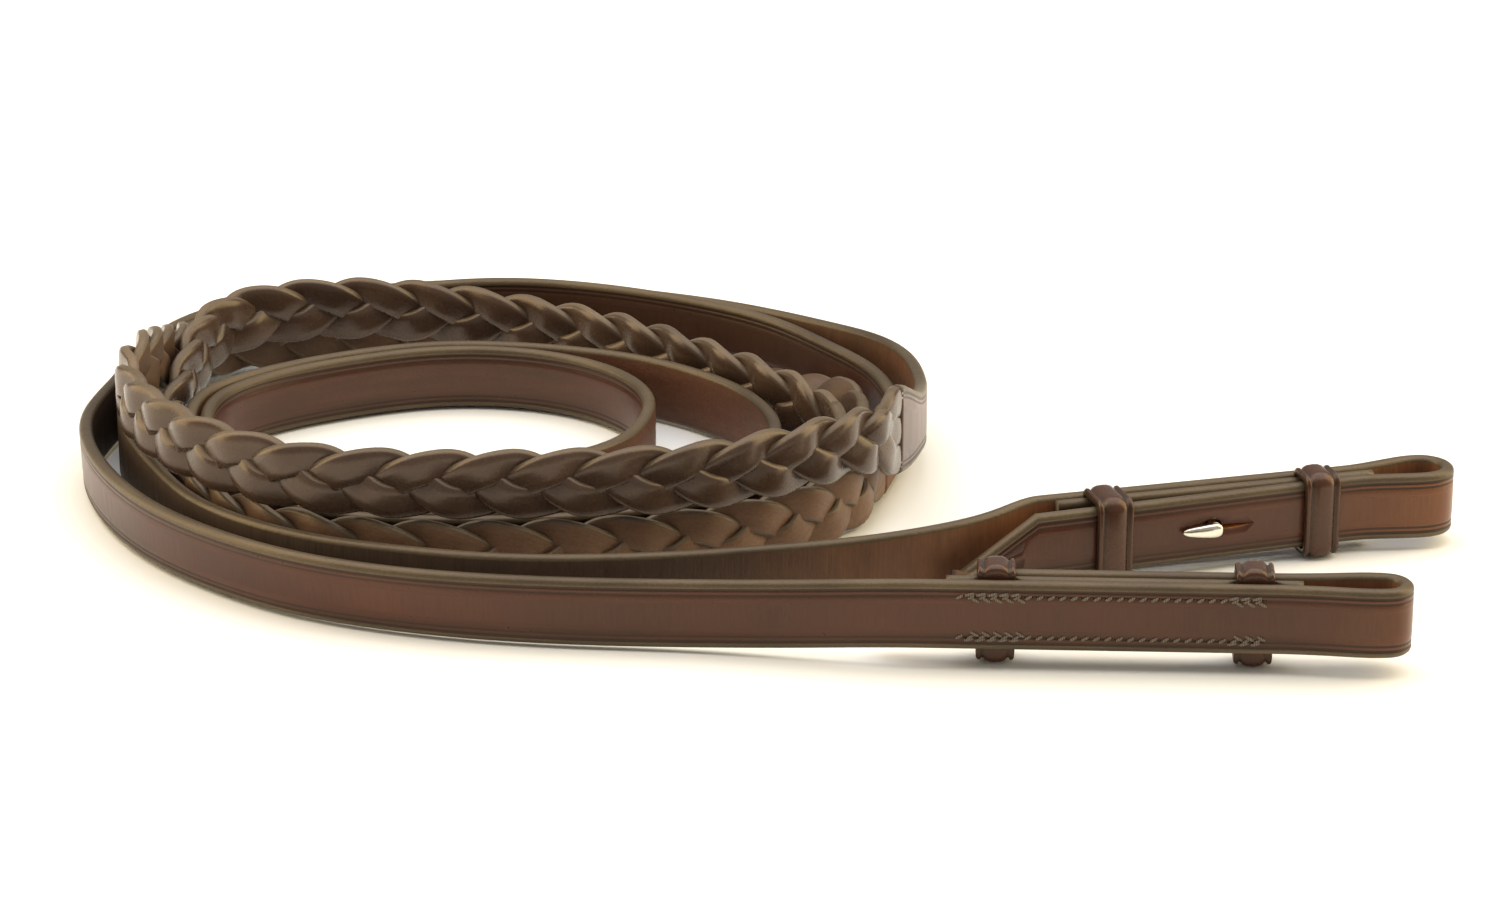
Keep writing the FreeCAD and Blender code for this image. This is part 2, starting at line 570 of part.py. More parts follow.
export(near_strap, "near_strap")
export(near_woven, "near_plait")
export(near_grip, "near_hand_part")
export(off_strap, "off_strap")
export(off_woven, "off_plait")
export(off_grip, "off_hand_part")
make_billet("near", near_billet)
make_billet("off", off_billet)
export(at_bar(buckle_frame()), "buckle_frame")
export(at_bar(buckle_prong()), "buckle_prong")
export(at_bar(strap_loop(17.0, 7.0, 1.6)), "buckle_fixed_keeper")
export(at_bar(strap_loop(27.5, 7.0, 1.6)), "buckle_running_keeper")

export(at_bar(chape_stitches()), "chape_stitching")

whole = Part.makeCompound(list(built.values()))
b = whole.BoundBox
print("box", [round(v, 2) for v in (b.XMin, b.XMax, b.YMin, b.YMax, b.ZMin, b.ZMax)])
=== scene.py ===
import math
import bpy
import bmesh
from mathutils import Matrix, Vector


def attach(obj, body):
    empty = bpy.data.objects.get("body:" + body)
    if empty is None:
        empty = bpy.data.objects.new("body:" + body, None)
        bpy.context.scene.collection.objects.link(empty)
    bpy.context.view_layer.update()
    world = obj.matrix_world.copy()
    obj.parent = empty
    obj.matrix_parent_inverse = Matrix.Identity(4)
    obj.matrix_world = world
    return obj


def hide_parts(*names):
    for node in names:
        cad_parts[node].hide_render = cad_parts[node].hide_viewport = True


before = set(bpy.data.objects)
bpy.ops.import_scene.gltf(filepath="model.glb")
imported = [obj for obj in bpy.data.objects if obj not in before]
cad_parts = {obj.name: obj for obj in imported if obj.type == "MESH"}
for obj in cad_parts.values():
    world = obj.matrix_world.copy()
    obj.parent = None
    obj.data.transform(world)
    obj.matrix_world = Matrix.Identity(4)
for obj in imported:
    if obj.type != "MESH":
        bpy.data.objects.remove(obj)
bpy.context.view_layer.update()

# Leather reins, coiled and standing on the edges of their straps.
# Routes and sizes below are in millimetres and repeat the CAD's; meshes are made in metres.
MM = 0.001
coil_middle = (1.8, 103.0)      # middle of the whole coil; the part is centred on it
body = "reins"

# straps and plaits
strap_w = 16.0
strap_t = 3.2
cad_strap_t = 3.4               # the CAD strap, which the leather sits just inside
plait_w = 17.0
root_w = 22.5                   # the strap flares to this where it is slit
flare_length = 30.0
plait_end_w = 17.0              # the hand part starts this wide
plait_end_length = 14.0
strand_w = 8.2
strand_t = 3.0
strand_swing = 4.4              # of a strand's middle, either way across the plait
strand_depth = 1.6              # of a strand's middle, either way through the plait
strand_ease = 16.0              # length over which the strands begin to weave

# billets
keeper_t = 2.0
keeper_w = 8.6
keeper_gap = 0.2
billet_lift = 2.25
stay_t = 3.0
stay_from = -11.0
stay_to = 67.0
stay_step = 1.5
glue = 0.15
tongue_play = 0.35
spread_from = 58.0
tongue_slant = 21.0
tongue_point = 2.6              # width left at the tongue's tip
layer = cad_strap_t + glue + stay_t + tongue_play
stud_at = 25.0
slit_length = 10.0
leg_from = 61.0                 # the billet's legs spread to the eye from here
stitch_pitch = 2.5
stitch_in = 3.3

# centre buckle
bar_r = 1.5
buckle_half = 9.8
buckle_reach = 13.0
buckle_z = buckle_half + bar_r + 0.2
bar_at = (-72.0, 60.9)
main_off = 1.8                  # from the bar to the middle of each leather
chape_end = 33.0
tip_end = 40.0
point_length = 9.0              # rounded point of the off rein's end
point_half = 1.6
prong_rise = 8.7
slot_half = 2.2                 # of the slot in the fold that lets the prong through
spare_hole_at = 34.0
fixed_at = 17.0
runner_at = 27.5


# ---------------------------------------------------------------- routes
def smooth(rows):
    """Natural cubic through the rows over their chord lengths: returns value(u) and the knots."""
    knots = [0.0]
    for a, b in zip(rows, rows[1:]):
        knots.append(knots[-1] + math.dist(a[:3], b[:3]))
    last = len(rows) - 1
    width = len(rows[0])
    gap = [knots[i + 1] - knots[i] for i in range(last)]
    second = [[0.0] * width for _ in rows]
    for c in range(width):
        up = [0.0] * len(rows)
        rest = [0.0] * len(rows)
        for i in range(1, last):
            pivot = 2 * (gap[i - 1] + gap[i]) - gap[i - 1] * up[i - 1]
            up[i] = gap[i] / pivot
            slope_after = (rows[i + 1][c] - rows[i][c]) / gap[i]
            slope_before = (rows[i][c] - rows[i - 1][c]) / gap[i - 1]
            rest[i] = (6 * (slope_after - slope_before) - gap[i - 1] * rest[i - 1]) / pivot
        for i in range(last - 1, 0, -1):
            second[i][c] = rest[i] - up[i] * second[i + 1][c]

    def value(u):
        i = 0
        while i < last - 1 and u > knots[i + 1]:
            i += 1
        h = gap[i]
        a = (knots[i + 1] - u) / h
        b = (u - knots[i]) / h
        out = []
        for c in range(width):
            bend = (a ** 3 - a) * second[i][c] + (b ** 3 - b) * second[i + 1][c]
            out.append(a * rows[i][c] + b * rows[i + 1][c] + bend * h * h / 6)
        return out

    return value, knots


def joined(pieces):
    """One route made of smooth pieces, each starting where the last one ends."""
    ends = []
    total = 0.0
    for rows in pieces:
        value, knots = smooth(rows)
        ends.append((total, value, knots))
        total += knots[-1]

    def value_at(u):
        for start, value, knots in reversed(ends):
            if u >= start:
                return value(min(u - start, knots[-1]))
        return ends[0][1](0.0)

    return value_at, ends, total


def ease(t):
    t = min(1.0, max(0.0, t))
    return t * t * (3 - 2 * t)


def circle(count, start=0.0):
    """Cosine and sine of equal steps round a circle."""
    turns = [start + 2 * math.pi * k / count for k in range(count)]
    return [(math.cos(turn), math.sin(turn)) for turn in turns]


class Route:
    """A rein's centre line, with the frame of its section at any distance along it."""

    def __init__(self, pieces):
        self.value, self.ends, self.length = joined(pieces)

    def frame(self, u):
        """Middle, across (to the left of travel) and up, all in millimetres."""
        e = 0.05
        a = self.value(max(u - e, 0.0))
        b = self.value(min(u + e, self.length))
        x, y, z, lean = self.value(u)
        size = math.hypot(b[0] - a[0], b[1] - a[1])
        side = Vector((-(b[1] - a[1]) / size, (b[0] - a[0]) / size, 0))
        tilt = math.radians(lean)
        across = side * math.cos(tilt) + Vector((0, 0, 1)) * math.sin(tilt)
        up = Vector((0, 0, 1)) * math.cos(tilt) - side * math.sin(tilt)
        return Vector((x - coil_middle[0], y - coil_middle[1], z)), across, up

    def stations(self, start, end, step, turn):
        """Places no further apart than step, and turning no more than turn degrees."""
        places = [start]
        u = start
        while u < end - 1e-6:
            reach = step
            while True:
                v = min(u + reach, end)
                a = self.value(u)
                b = self.value(min(u + 0.2, end))
                c = self.value(max(v - 0.2, start))
                d = self.value(v)
                before = math.atan2(b[1] - a[1], b[0] - a[0])
                after = math.atan2(d[1] - c[1], d[0] - c[0])
                change = abs((after - before + math.pi) % (2 * math.pi) - math.pi)
                if math.degrees(change) <= turn or reach < 0.5:
                    break
                reach *= 0.7
            u = v
            places.append(u)
        return places


class Billet:
    """The straight end of a rein: local x runs to the fold, y from the strap to the tongue."""

    def __init__(self, at, angle, side, eye_r, reach, pitch, sag, spread, tip):
        self.at = at
        self.angle = math.radians(angle)
        self.side = side
        self.eye_r = eye_r
        self.pitch = pitch              # between the two keepers
        self.sag = sag                  # how far the keepers hang below the strap
        self.spread = spread            # how much wider the stack of leather is at the first keeper
        self.tip = tip                  # end of the tongue, along the billet from the first keeper
        self.fold_r = eye_r + cad_strap_t / 2 - 0.15
        self.bulge = self.fold_r - layer / 2
        self.eye_x = reach - eye_r - cad_strap_t
        self.mid_z = billet_lift + sag + strap_w / 2

    def plan(self, x, y):
        c = math.cos(self.angle)
        s = math.sin(self.angle)
        y = y * self.side
        return (self.at[0] + x * c - y * s, self.at[1] + x * s + y * c)

    def tongue_y(self, x):
        """Middle of the tongue's leather: it leans away from the strap towards its tip."""
        return layer + self.spread * max(0.0, spread_from - x) / spread_from

    def row(self, x, y):
        return (*self.plan(x, y), self.mid_z, 0.0)

    def point(self, x, y, z):
        px, py = self.plan(x, y)
        return Vector((px - coil_middle[0], py - coil_middle[1], self.mid_z + z))

    def pieces(self):
        run = self.eye_x - leg_from
        leg = [(x, self.bulge * ease((x - leg_from) / run)) for x in (60, 63, 66, 69, 73)]
        eye = [self.row(x, layer + out) for x, out in leg]
        for step in range(7):
            turn = math.pi / 2 - step * math.pi / 6
            x = self.eye_x + self.fold_r * math.cos(turn)
            eye.append(self.row(x, layer / 2 + self.fold_r * math.sin(turn)))
        eye += [self.row(x, -out) for x, out in reversed(leg)]
        tongue = [self.row(self.tip, self.tongue_y(self.tip)), self.row(spread_from, layer)]
        flat = [tongue[-1], eye[0]]
        strap = [eye[-1], self.row(stay_from - 1, 0.0)]
        return [tongue, flat, eye, strap]

    def lead(self):
        return [self.row(stay_from - x, 0.0) for x in (1, 2, 3)]


# at, angle, side, eye_r, reach, pitch, sag, spread, tip
near_billet = Billet((53.8, -10.2), -2.6, 1, 3.2, 91.3, 56.5, 2.0, 0.0, -25.0)
off_billet = Billet((80.3, 51.8), 15.4, -1, 4.4, 87.3, 52.0, 0.0, 3.2, -39.5)

half_w = strap_w / 2 + 0.1
half_p = plait_w / 2 + 0.2
top_p = half_p + plait_w + 0.2

# Rows of x, y, height of the strap's middle and lean in degrees. The straps stand on their edges.
near_plain = [
    (24, -7.3, half_w + 3.3, 0), (12, -4.8, half_w + 2.2, 0), (-12, -0.4, half_w + 0.5, 0),
    (-35, 1.7, half_w + 0.1, -1), (-60, 4.8, half_w + 0.1, -4), (-83, 10.6, half_w + 0.1, -7),
    (-104, 20, half_w + 0.1, -7), (-122, 33.5, half_w + 0.1, -7), (-137.6, 50.3, half_w + 0.1, -6),
    (-150.1, 71, half_w + 0.1, -4), (-158.5, 93.5, half_w + 0.1, -3), (-161.5, 112, half_w, -1),
    (-160.4, 127, half_w, 0), (-158.2, 140, half_w, 0), (-155.4, 161, half_w, 0),
    (-150.9, 177.6, half_w, 0), (-143.8, 190.8, half_w, 0), (-132.2, 201.5, half_w, 0),
    (-117.9, 208.7, half_w, 0), (-101, 213.3, half_w, 0), (-83.4, 217.1, half_w, 0),
    (-66, 218.4, half_w, 0), (-49, 216.5, half_w, 0), (-30.3, 210.2, half_w, 0),
    (-11.6, 200.5, half_w + 0.7, 0), (9.4, 184.9, half_w + 1.8, 0), (21.5, 173.6, half_w + 2.6, 0),
    (31.6, 162.6, half_w + 3.3, 0), (38.4, 149.4, half_w + 3.8, 0), (41.4, 134, half_w + 4.3, 0),
    (41.9, 121, half_w + 4.9, 0), (40.4, 108, half_w + 6.9, 0), (38.0, 95.5, half_w + 10.2, 0),
]
near_plait = [
    (34.4, 82.2, 22.2, 0), (29.5, 69.3, 24.8, 0), (22, 60, top_p + 0.5, 0), (13.5, 52.3, top_p + 0.8, 0),
    (3, 46, top_p + 0.6, 0), (-11, 40.6, top_p, 0), (-33, 36.5, top_p, 0), (-57, 35, top_p, 0),
    (-82, 35, top_p + 0.3, 0), (-103, 38.2, top_p + 0.9, 0), (-119, 47.5, top_p + 1.2, 0),
    (-132, 60.5, top_p + 1.2, 0), (-142.5, 78, top_p + 0.8, 0), (-149, 97, top_p - 0.2, 0),
    (-150.4, 111, top_p - 0.5, 0), (-148.5, 123, 25.2, 0), (-147.9, 135, 22.2, 0),
    (-147, 148, 18.4, 0), (-145.4, 161, 14.4, 0), (-142.8, 173.3, 11.4, 0), (-136.8, 183.9, half_p + 0.9, 0),
    (-127.4, 191, half_p, 0), (-115, 195.6, half_p, 0), (-92, 199, half_p + 0.4, -14),
    (-71, 200.2, half_p, -45), (-50, 197.2, 5.6, -76), (-30, 187.5, 4.3, -84), (-11, 175, 4.3, -84),
    (5.5, 159.5, 5.0, -78), (16, 144.5, 7.6, -58), (22.8, 131.5, half_p + 0.5, -28),
]
near_hand = [
    (27.0, 119, half_p + 0.1, -5), (27.4, 108, half_w, 0), (24.7, 97, half_w, 0), (20.6, 85.5, half_w, 0),
    (14.2, 74, half_w, 0), (5, 63.3, half_w, 0), (-8, 54, half_w, 0), (-25, 46.6, half_w, 0),
    (-50, 41.5, half_w, 0), (-75, 40.8, half_w, 0), (-94, 44.4, half_w, 0),
    (-108.5, 53, half_w, 0), (-119.5, 66, half_w, 0), (-128.3, 82, half_w, 0),
    (-134.3, 99, half_w, 0), (-136.8, 115, half_w, 0), (-134.8, 129.5, half_w, 0),
    (-121, 146.8, half_w, 0), (-102.3, 158.6, half_w, 0), (-79, 166.4, half_w, 0),
    (-62, 166, half_w, 0), (-45, 162.4, half_w, 0), (-27, 155, half_w, 0),
    (-14.5, 145.6, half_w, 0), (-2.4, 131.2, half_w, 0), (3.8, 117.3, half_w, 0),
    (6, 105, half_w, 0), (5, 93.5, half_w, 0), (0, 81, half_w + 0.2, 0),
    (-8, 71.5, half_w + 0.9, 0), (-17, 64.6, half_w + 2.0, 0), (-28, 60.2, half_w + 3.0, 0),
]
off_plain = [
    (57.8, 43.2, half_w + 1.0, 0), (46.4, 36.2, half_w + 0.3, 0), (34.0, 30.6, half_w + 0.1, 0),
    (18, 25.4, half_w, 0), (2, 21.7, half_w, 0),
    (-15, 18.5, half_w, 0), (-38, 16.3, half_w, 0), (-58, 17.2, half_w, 0), (-78, 21.6, half_w, 0),
    (-96, 27.8, half_w, 0), (-113, 38, half_w, 0), (-128, 53, half_w, 0), (-139, 73, half_w, 0),
    (-147.4, 93, half_w, 0), (-152.2, 109, half_w, 0), (-154, 124, half_w, 0),
    (-153.5, 138, half_w, 0), (-152.0, 150, half_w, 0), (-150.6, 162, half_w, 0),
    (-147.2, 176, half_w, 0), (-140.8, 188.2, half_w, 0), (-130, 198, half_w, 0),
    (-116.5, 204.8, half_w, 0), (-100, 209.3, half_w + 0.6, 0), (-83, 213.2, half_w + 1.2, 0),
    (-66, 214.5, half_w + 1.6, 0), (-50, 212.6, half_w + 1.6, 0), (-32, 206.5, half_w + 1.6, 0),
    (-14, 197, half_w + 1.6, 0), (6.5, 180.5, half_w + 1.6, 0), (20.5, 162, half_w + 1.2, 0),
    (30.8, 145.5, half_w + 0.5, 0), (35.2, 127, half_w + 0.1, 0), (34.6, 111, half_w + 2.0, 0),
]
off_plait = [
    (31.4, 97, root_w / 2 + 0.2, 0), (28.4, 85.7, half_p + 0.9, 0), (24.2, 74.7, half_p, 0),
    (17.2, 64.1, half_p, 0), (7, 55, half_p, 0), (-6, 47, half_p, 0), (-20, 41.4, half_p, 0),
    (-38, 37.2, half_p, 0), (-57, 35.4, half_p, 0),
    (-80, 35.5, half_p + 0.2, 0), (-100, 39.4, half_p + 0.7, 0),
    (-115, 48.5, half_p + 1, 0), (-126, 61.2, half_p + 1, 0), (-135.2, 80, half_p + 0.7, 0),
    (-140, 97, half_p + 0.1, 0), (-142, 112, half_p, 0), (-142.2, 124, half_p + 1, 0),
    (-141.3, 136, half_p + 3.8, 0), (-140.4, 148.5, half_p + 6.8, 0), (-138.9, 160, half_p + 8.3, 0),
    (-136.3, 170.6, half_p + 8.8, 0), (-131.2, 179, half_p + 8.8, 0), (-123.6, 184.8, half_p + 8.8, 0),
    (-112.6, 188.6, half_p + 8.7, 0), (-92, 190.4, half_p + 8.1, 0),
    (-72, 188, half_p + 6.7, 0), (-53, 182.6, half_p + 5.3, 0),
    (-33, 169.2, half_p + 5.6, 0), (-14, 153, half_p + 5.2, 0), (3, 137, half_p + 4.2, 0),
    (14.5, 125, half_p + 2.6, 0),
]
off_hand = [
    (20.8, 114.5, half_p + 1.0, 0), (22.2, 104.5, half_w + 0.2, 0),
    (20.0, 95, half_w, 0), (16.3, 85, half_w, 0),
    (10, 75.4, half_w, 0), (1.3, 66.2, half_w, 0), (-10.5, 58, half_w, 0), (-27, 50.8, half_w, 0),
    (-50, 45.8, half_w, 0), (-74, 45, half_w, 0), (-91.6, 48.2, half_w, 0),
    (-105.6, 56.4, half_w, 0), (-116, 68.4, half_w, 0), (-124.6, 84, half_w, 0),
    (-130.3, 100, half_w, 0), (-132.6, 114, half_w, 0), (-130.8, 127.5, half_w, 0),
    (-118.2, 143.6, half_w, 0), (-100.3, 154.7, half_w, 0), (-79, 162.2, half_w, 0),
    (-61, 161.6, half_w, 0), (-45.5, 155.5, half_w, 0), (-34, 145.5, half_w, 0),
    (-27.3, 134, half_w, 0), (-24.8, 121.5, half_w, 0), (-26, 109, half_w, 0),
    (-30, 96.5, half_w + 0.2, 0), (-37.5, 85.6, half_w + 0.7, 0), (-49, 77, half_w + 1.7, 0),
    (-63, 71.8, half_w + 2.8, 0), (-78, 69.6, buckle_z, 0), (-90, 69.2, buckle_z, 0),
]


def bar_row(x, y):
    return (bar_at[0] + x, bar_at[1] - y, buckle_z, 0.0)


def near_end():
    fold = bar_r + 0.3 + cad_strap_t / 2
    lead = [bar_row(x, main_off) for x in (33, 30, 27)]
    bend = [bar_row(9, main_off), bar_row(7.5, main_off), bar_row(4.5, main_off + 0.8)]
    for step in range(7):
        turn = math.pi / 2 + step * math.pi / 6
        bend.append(bar_row(fold * math.cos(turn), fold * math.sin(turn)))
    bend += [bar_row(4.5, -main_off - 0.8), bar_row(7.5, -main_off), bar_row(9, -main_off)]
    straight = [lead[-1], bend[0]]
    chape = [bend[-1], bar_row(chape_end, -main_off)]
    return lead, [straight, bend, chape]


def off_end():
    turn_r = 5.0
    middle = (-92.0, 64.1)
    rows = []
    for step in range(1, 6):
        turn = math.pi / 2 + step * math.pi / 6
        x = middle[0] + turn_r * math.cos(turn)
        rows.append((x, middle[1] + turn_r * math.sin(turn), buckle_z, 0.0))
    over = main_off + cad_strap_t + 0.4
    rows += [bar_row(-buckle_reach, 1.95), bar_row(-6, 5.0), bar_row(0, 7.3), bar_row(6, 6.5)]
    rows += [bar_row(x, over) for x in (10, 12)]
    return rows, [[rows[-1], bar_row(tip_end, over)]]


class Rein(Route):
    """A rein: its billet, route and the stretches of strap, plait and hand part."""

    def __init__(self, name, billet, grain, plain, plait, hand, end):
        last_rows, last_pieces = end
        coil = billet.lead() + plain + plait + hand + last_rows
        super().__init__(billet.pieces() + [coil] + last_pieces)
        self.name = name
        self.billet = billet
        self.grain = grain                      # +1 when the grain side faces left of travel
        start, _, knots = self.ends[len(billet.pieces())]
        first = len(billet.lead()) + len(plain)
        self.root = start + knots[first]        # where the plait starts
        self.stop = start + knots[first + len(plait)]


near = Rein("near", near_billet, 1, near_plain, near_plait, near_hand, near_end())
off = Rein("off", off_billet, -1, off_plain, off_plait, off_hand, off_end())


# ---------------------------------------------------------------- materials
def nodes_of(name):
    mat = bpy.data.materials.new(name)
    mat.use_nodes = True
    tree = mat.node_tree
    return mat, tree, tree.nodes["Principled BSDF"]


def spread_value(tree, source, low, high):
    """A 0 to 1 value spread between two others."""
    node = tree.nodes.new("ShaderNodeMapRange")
    node.inputs["To Min"].default_value = low
    node.inputs["To Max"].default_value = high
    tree.links.new(source, node.inputs["Value"])
    return node.outputs["Result"]


def bump(tree, height, strength, distance, under=None):
    node = tree.nodes.new("ShaderNodeBump")
    node.inputs["Strength"].default_value = strength
    node.inputs["Distance"].default_value = distance
    tree.links.new(height, node.inputs["Height"])
    if under:
        tree.links.new(under, node.inputs["Normal"])
    return node.outputs["Normal"]


def ramp(tree, source, stops):
    node = tree.nodes.new("ShaderNodeValToRGB")
    while len(node.color_ramp.elements) < len(stops):
        node.color_ramp.elements.new(0.5)
    for element, (place, colour) in zip(node.color_ramp.elements, stops):
        element.position = place
        element.color = (*colour, 1.0)
    tree.links.new(source, node.inputs["Fac"])
    return node


def noise(tree, vector, scale, detail=4.0, roughness=0.55):
    node = tree.nodes.new("ShaderNodeTexNoise")
    node.inputs["Scale"].default_value = scale
    node.inputs["Detail"].default_value = detail
    node.inputs["Roughness"].default_value = roughness
    tree.links.new(vector, node.inputs["Vector"])
    return node


def stretched(tree, along):
    """The leather's own UV, in metres, with a different scale along the strap."""
    source = tree.nodes.new("ShaderNodeUVMap")
    source.uv_map = "UVMap"
    scale = tree.nodes.new("ShaderNodeMapping")
    scale.inputs["Scale"].default_value = (along, 1.0, 1.0)
    tree.links.new(source.outputs["UV"], scale.inputs["Vector"])
    return scale.outputs["Vector"]


def mix(tree, factor, a, b, blend="MIX"):
    node = tree.nodes.new("ShaderNodeMix")
    node.data_type = "RGBA"
    node.blend_type = blend
    if isinstance(factor, float):
        node.inputs[0].default_value = factor
    else:
        tree.links.new(factor, node.inputs[0])
    for slot, value in ((6, a), (7, b)):
        if isinstance(value, tuple):
            node.inputs[slot].default_value = (*value, 1.0)
        else:
            tree.links.new(value, node.inputs[slot])
    return node.outputs[2]


def leather(name, dark, light, roughness, grain=0.12, coat=0.0, fibre=0.0, streak=0.0, axis_tones_and_painted_light=()):
    """Dyed leather: tone varies along the strap, with pores and, on the flesh side, fibres. Bands along an
    axis add given tones, which here include painted sheen and painted shade.
    """
    mat, tree, bsdf = nodes_of(name)
    uv = stretched(tree, 1.0)
    long_uv = stretched(tree, 0.25)
    tone = noise(tree, long_uv, 60.0, 3.0, 0.6)
    base = ramp(tree, tone.outputs["Fac"], [(0.30, dark), (0.72, light)])
    colour = base.outputs["Color"]
    for axis, start, stop, amount, tint in axis_tones_and_painted_light:
        # a tone that comes in between two places on an axis, in metres; the grain's greyer tone at the back
        # is painted sheen, the flesh side's dark tone at the left is painted shade
        place = tree.nodes.new("ShaderNodeTexCoord")
        split = tree.nodes.new("ShaderNodeSeparateXYZ")
        tree.links.new(place.outputs["Object"], split.inputs["Vector"])
        fade = tree.nodes.new("ShaderNodeMapRange")
        fade.inputs["From Min"].default_value = start
        fade.inputs["From Max"].default_value = stop
        fade.inputs["To Max"].default_value = amount
        tree.links.new(split.outputs[axis], fade.inputs["Value"])
        colour = mix(tree, fade.outputs["Result"], colour, tint)
    fine = noise(tree, uv, 1400.0, 3.0, 0.6)
    speck = ramp(tree, fine.outputs["Fac"], [(0.35, (0.72, 0.70, 0.68)), (0.60, (1.0, 1.0, 1.0))])
    colour = mix(tree, 0.55, colour, speck.outputs["Color"], "MULTIPLY")
    if fibre:
        hair = noise(tree, stretched(tree, 0.12), 2200.0, 4.0, 0.7)
        hair_ramp = ramp(tree, hair.outputs["Fac"], [(0.35, (0.62, 0.55, 0.50)), (0.68, (1.15, 1.1, 1.0))])
        colour = mix(tree, fibre, colour, hair_ramp.outputs["Color"], "MULTIPLY")
    if streak:
        rub = noise(tree, stretched(tree, 0.06), 420.0, 3.0, 0.5)
        rub_ramp = ramp(tree, rub.outputs["Fac"], [(0.42, (0.80, 0.78, 0.76)), (0.66, (1.12, 1.08, 1.05))])
        colour = mix(tree, streak, colour, rub_ramp.outputs["Color"], "MULTIPLY")
    tree.links.new(colour, bsdf.inputs["Base Color"])
    patches = noise(tree, uv, 260.0, 3.0).outputs["Fac"]
    rough = spread_value(tree, patches, roughness - 0.07, roughness + 0.10)
    tree.links.new(rough, bsdf.inputs["Roughness"])
    pores = tree.nodes.new("ShaderNodeTexVoronoi")
    pores.inputs["Scale"].default_value = 1500.0
    tree.links.new(uv, pores.inputs["Vector"])
    waves = noise(tree, uv, 320.0, 4.0)
    small = bump(tree, pores.outputs["Distance"], grain, 0.00012)
    large = bump(tree, waves.outputs["Fac"], grain * 1.4, 0.0004, under=small)
    tree.links.new(large, bsdf.inputs["Normal"])
    bsdf.inputs["Coat Weight"].default_value = coat
    bsdf.inputs["Coat Roughness"].default_value = 0.25
    bsdf.inputs["IOR"].default_value = 1.5
    bsdf.inputs["Specular Tint"].default_value = (1.0, 0.80, 0.66, 1.0)
    return mat


def metal(name, colour, roughness):
    mat, tree, bsdf = nodes_of(name)
    coords = tree.nodes.new("ShaderNodeTexCoord")
    marks = noise(tree, coords.outputs["Object"], 700.0, 5.0, 0.65)
    tint = ramp(tree, marks.outputs["Fac"], [(0.30, tuple(c * 0.82 for c in colour)), (0.65, colour)])
    tree.links.new(tint.outputs["Color"], bsdf.inputs["Base Color"])
    rough = spread_value(tree, marks.outputs["Fac"], roughness - 0.05, roughness + 0.12)
    tree.links.new(rough, bsdf.inputs["Roughness"])
    bsdf.inputs["Metallic"].default_value = 1.0
    tree.links.new(bump(tree, marks.outputs["Fac"], 0.06, 0.0002), bsdf.inputs["Normal"])
    return mat


def thread(name, dark, light):
    mat, tree, bsdf = nodes_of(name)
    coords = tree.nodes.new("ShaderNodeTexCoord")
    wave = tree.nodes.new("ShaderNodeTexWave")
    wave.inputs["Scale"].default_value = 900.0
    wave.inputs["Distortion"].default_value = 2.0
    tree.links.new(coords.outputs["Object"], wave.inputs["Vector"])
    tint = ramp(tree, wave.outputs["Fac"], [(0.2, dark), (0.8, light)])
    tree.links.new(tint.outputs["Color"], bsdf.inputs["Base Color"])
    bsdf.inputs["Roughness"].default_value = 0.6
    tree.links.new(bump(tree, wave.outputs["Fac"], 0.4, 0.0001), bsdf.inputs["Normal"])
    return mat


grain_mat = leather("grain_leather", (0.033, 0.0096, 0.0054), (0.084, 0.0255, 0.0145),
                    0.29, 0.10, streak=0.45,
                    # X: a lighter, redder tone towards the billets' eyes. Y: painted sheen, a greyer tone
                    # towards the back, where the grain in shade shows a grey reflection
                    axis_tones_and_painted_light=(("X", 0.122, 0.156, 0.72, (0.175, 0.063, 0.023)),
                          ("Y", 0.030, 0.075, 0.55, (0.052, 0.031, 0.022))))
# darker leather for the creased lines; the stitches' awl holes use it as painted shade
crease_and_hole_shade_mat = leather("crease_leather", (0.016, 0.007, 0.004), (0.034, 0.014, 0.008), 0.42, 0.10)
flesh_mat = leather("flesh_leather", (0.080, 0.032, 0.014), (0.24, 0.096, 0.040),
                    0.60, 0.35, fibre=0.5,
                    # painted shade: the flesh side darkens towards the left, where it lies in the narrow gap
                    # between the standing straps
                    axis_tones_and_painted_light=(("X", 0.060, -0.020, 0.90, (0.036, 0.026, 0.020)),))
edge_mat = leather("burnished_edge", (0.036, 0.025, 0.015), (0.125, 0.094, 0.054),
                   0.38, 0.25, streak=0.6)
strand_mat = leather("plait_leather", (0.038, 0.022, 0.015), (0.088, 0.053, 0.035),
                     0.26, 0.10, coat=0.25, streak=0.4)
strand_back_mat = leather("plait_flesh", (0.120, 0.067, 0.040), (0.215, 0.125, 0.078),
                          0.50, 0.25, fibre=0.4)
# painted shade: a darker copy of the plait's flesh side, for the near plait whose flesh side lies underneath
# and behind in shade
strand_shaded_flesh_mat = leather("plait_flesh_painted_shade", (0.055, 0.031, 0.019), (0.110, 0.063, 0.039),
                          0.50, 0.25, fibre=0.4)
strand_edge_mat = leather("plait_edge", (0.062, 0.045, 0.029), (0.17, 0.125, 0.080),
                          0.40, 0.2, streak=0.4)
keeper_mat = leather("keeper_leather", (0.036, 0.0135, 0.008), (0.085, 0.033, 0.019), 0.26, 0.12)
keeper_rim_mat = leather("keeper_rim", (0.018, 0.010, 0.006), (0.050, 0.028, 0.016), 0.34, 0.12)
hand_flesh_mat = leather("hand_flesh", (0.055, 0.021, 0.012), (0.122, 0.048, 0.027),
                         0.55, 0.35, fibre=0.5)
cut_mat = leather("cut_leather", (0.40, 0.16, 0.035), (0.62, 0.27, 0.07), 0.7, 0.3, fibre=0.6)
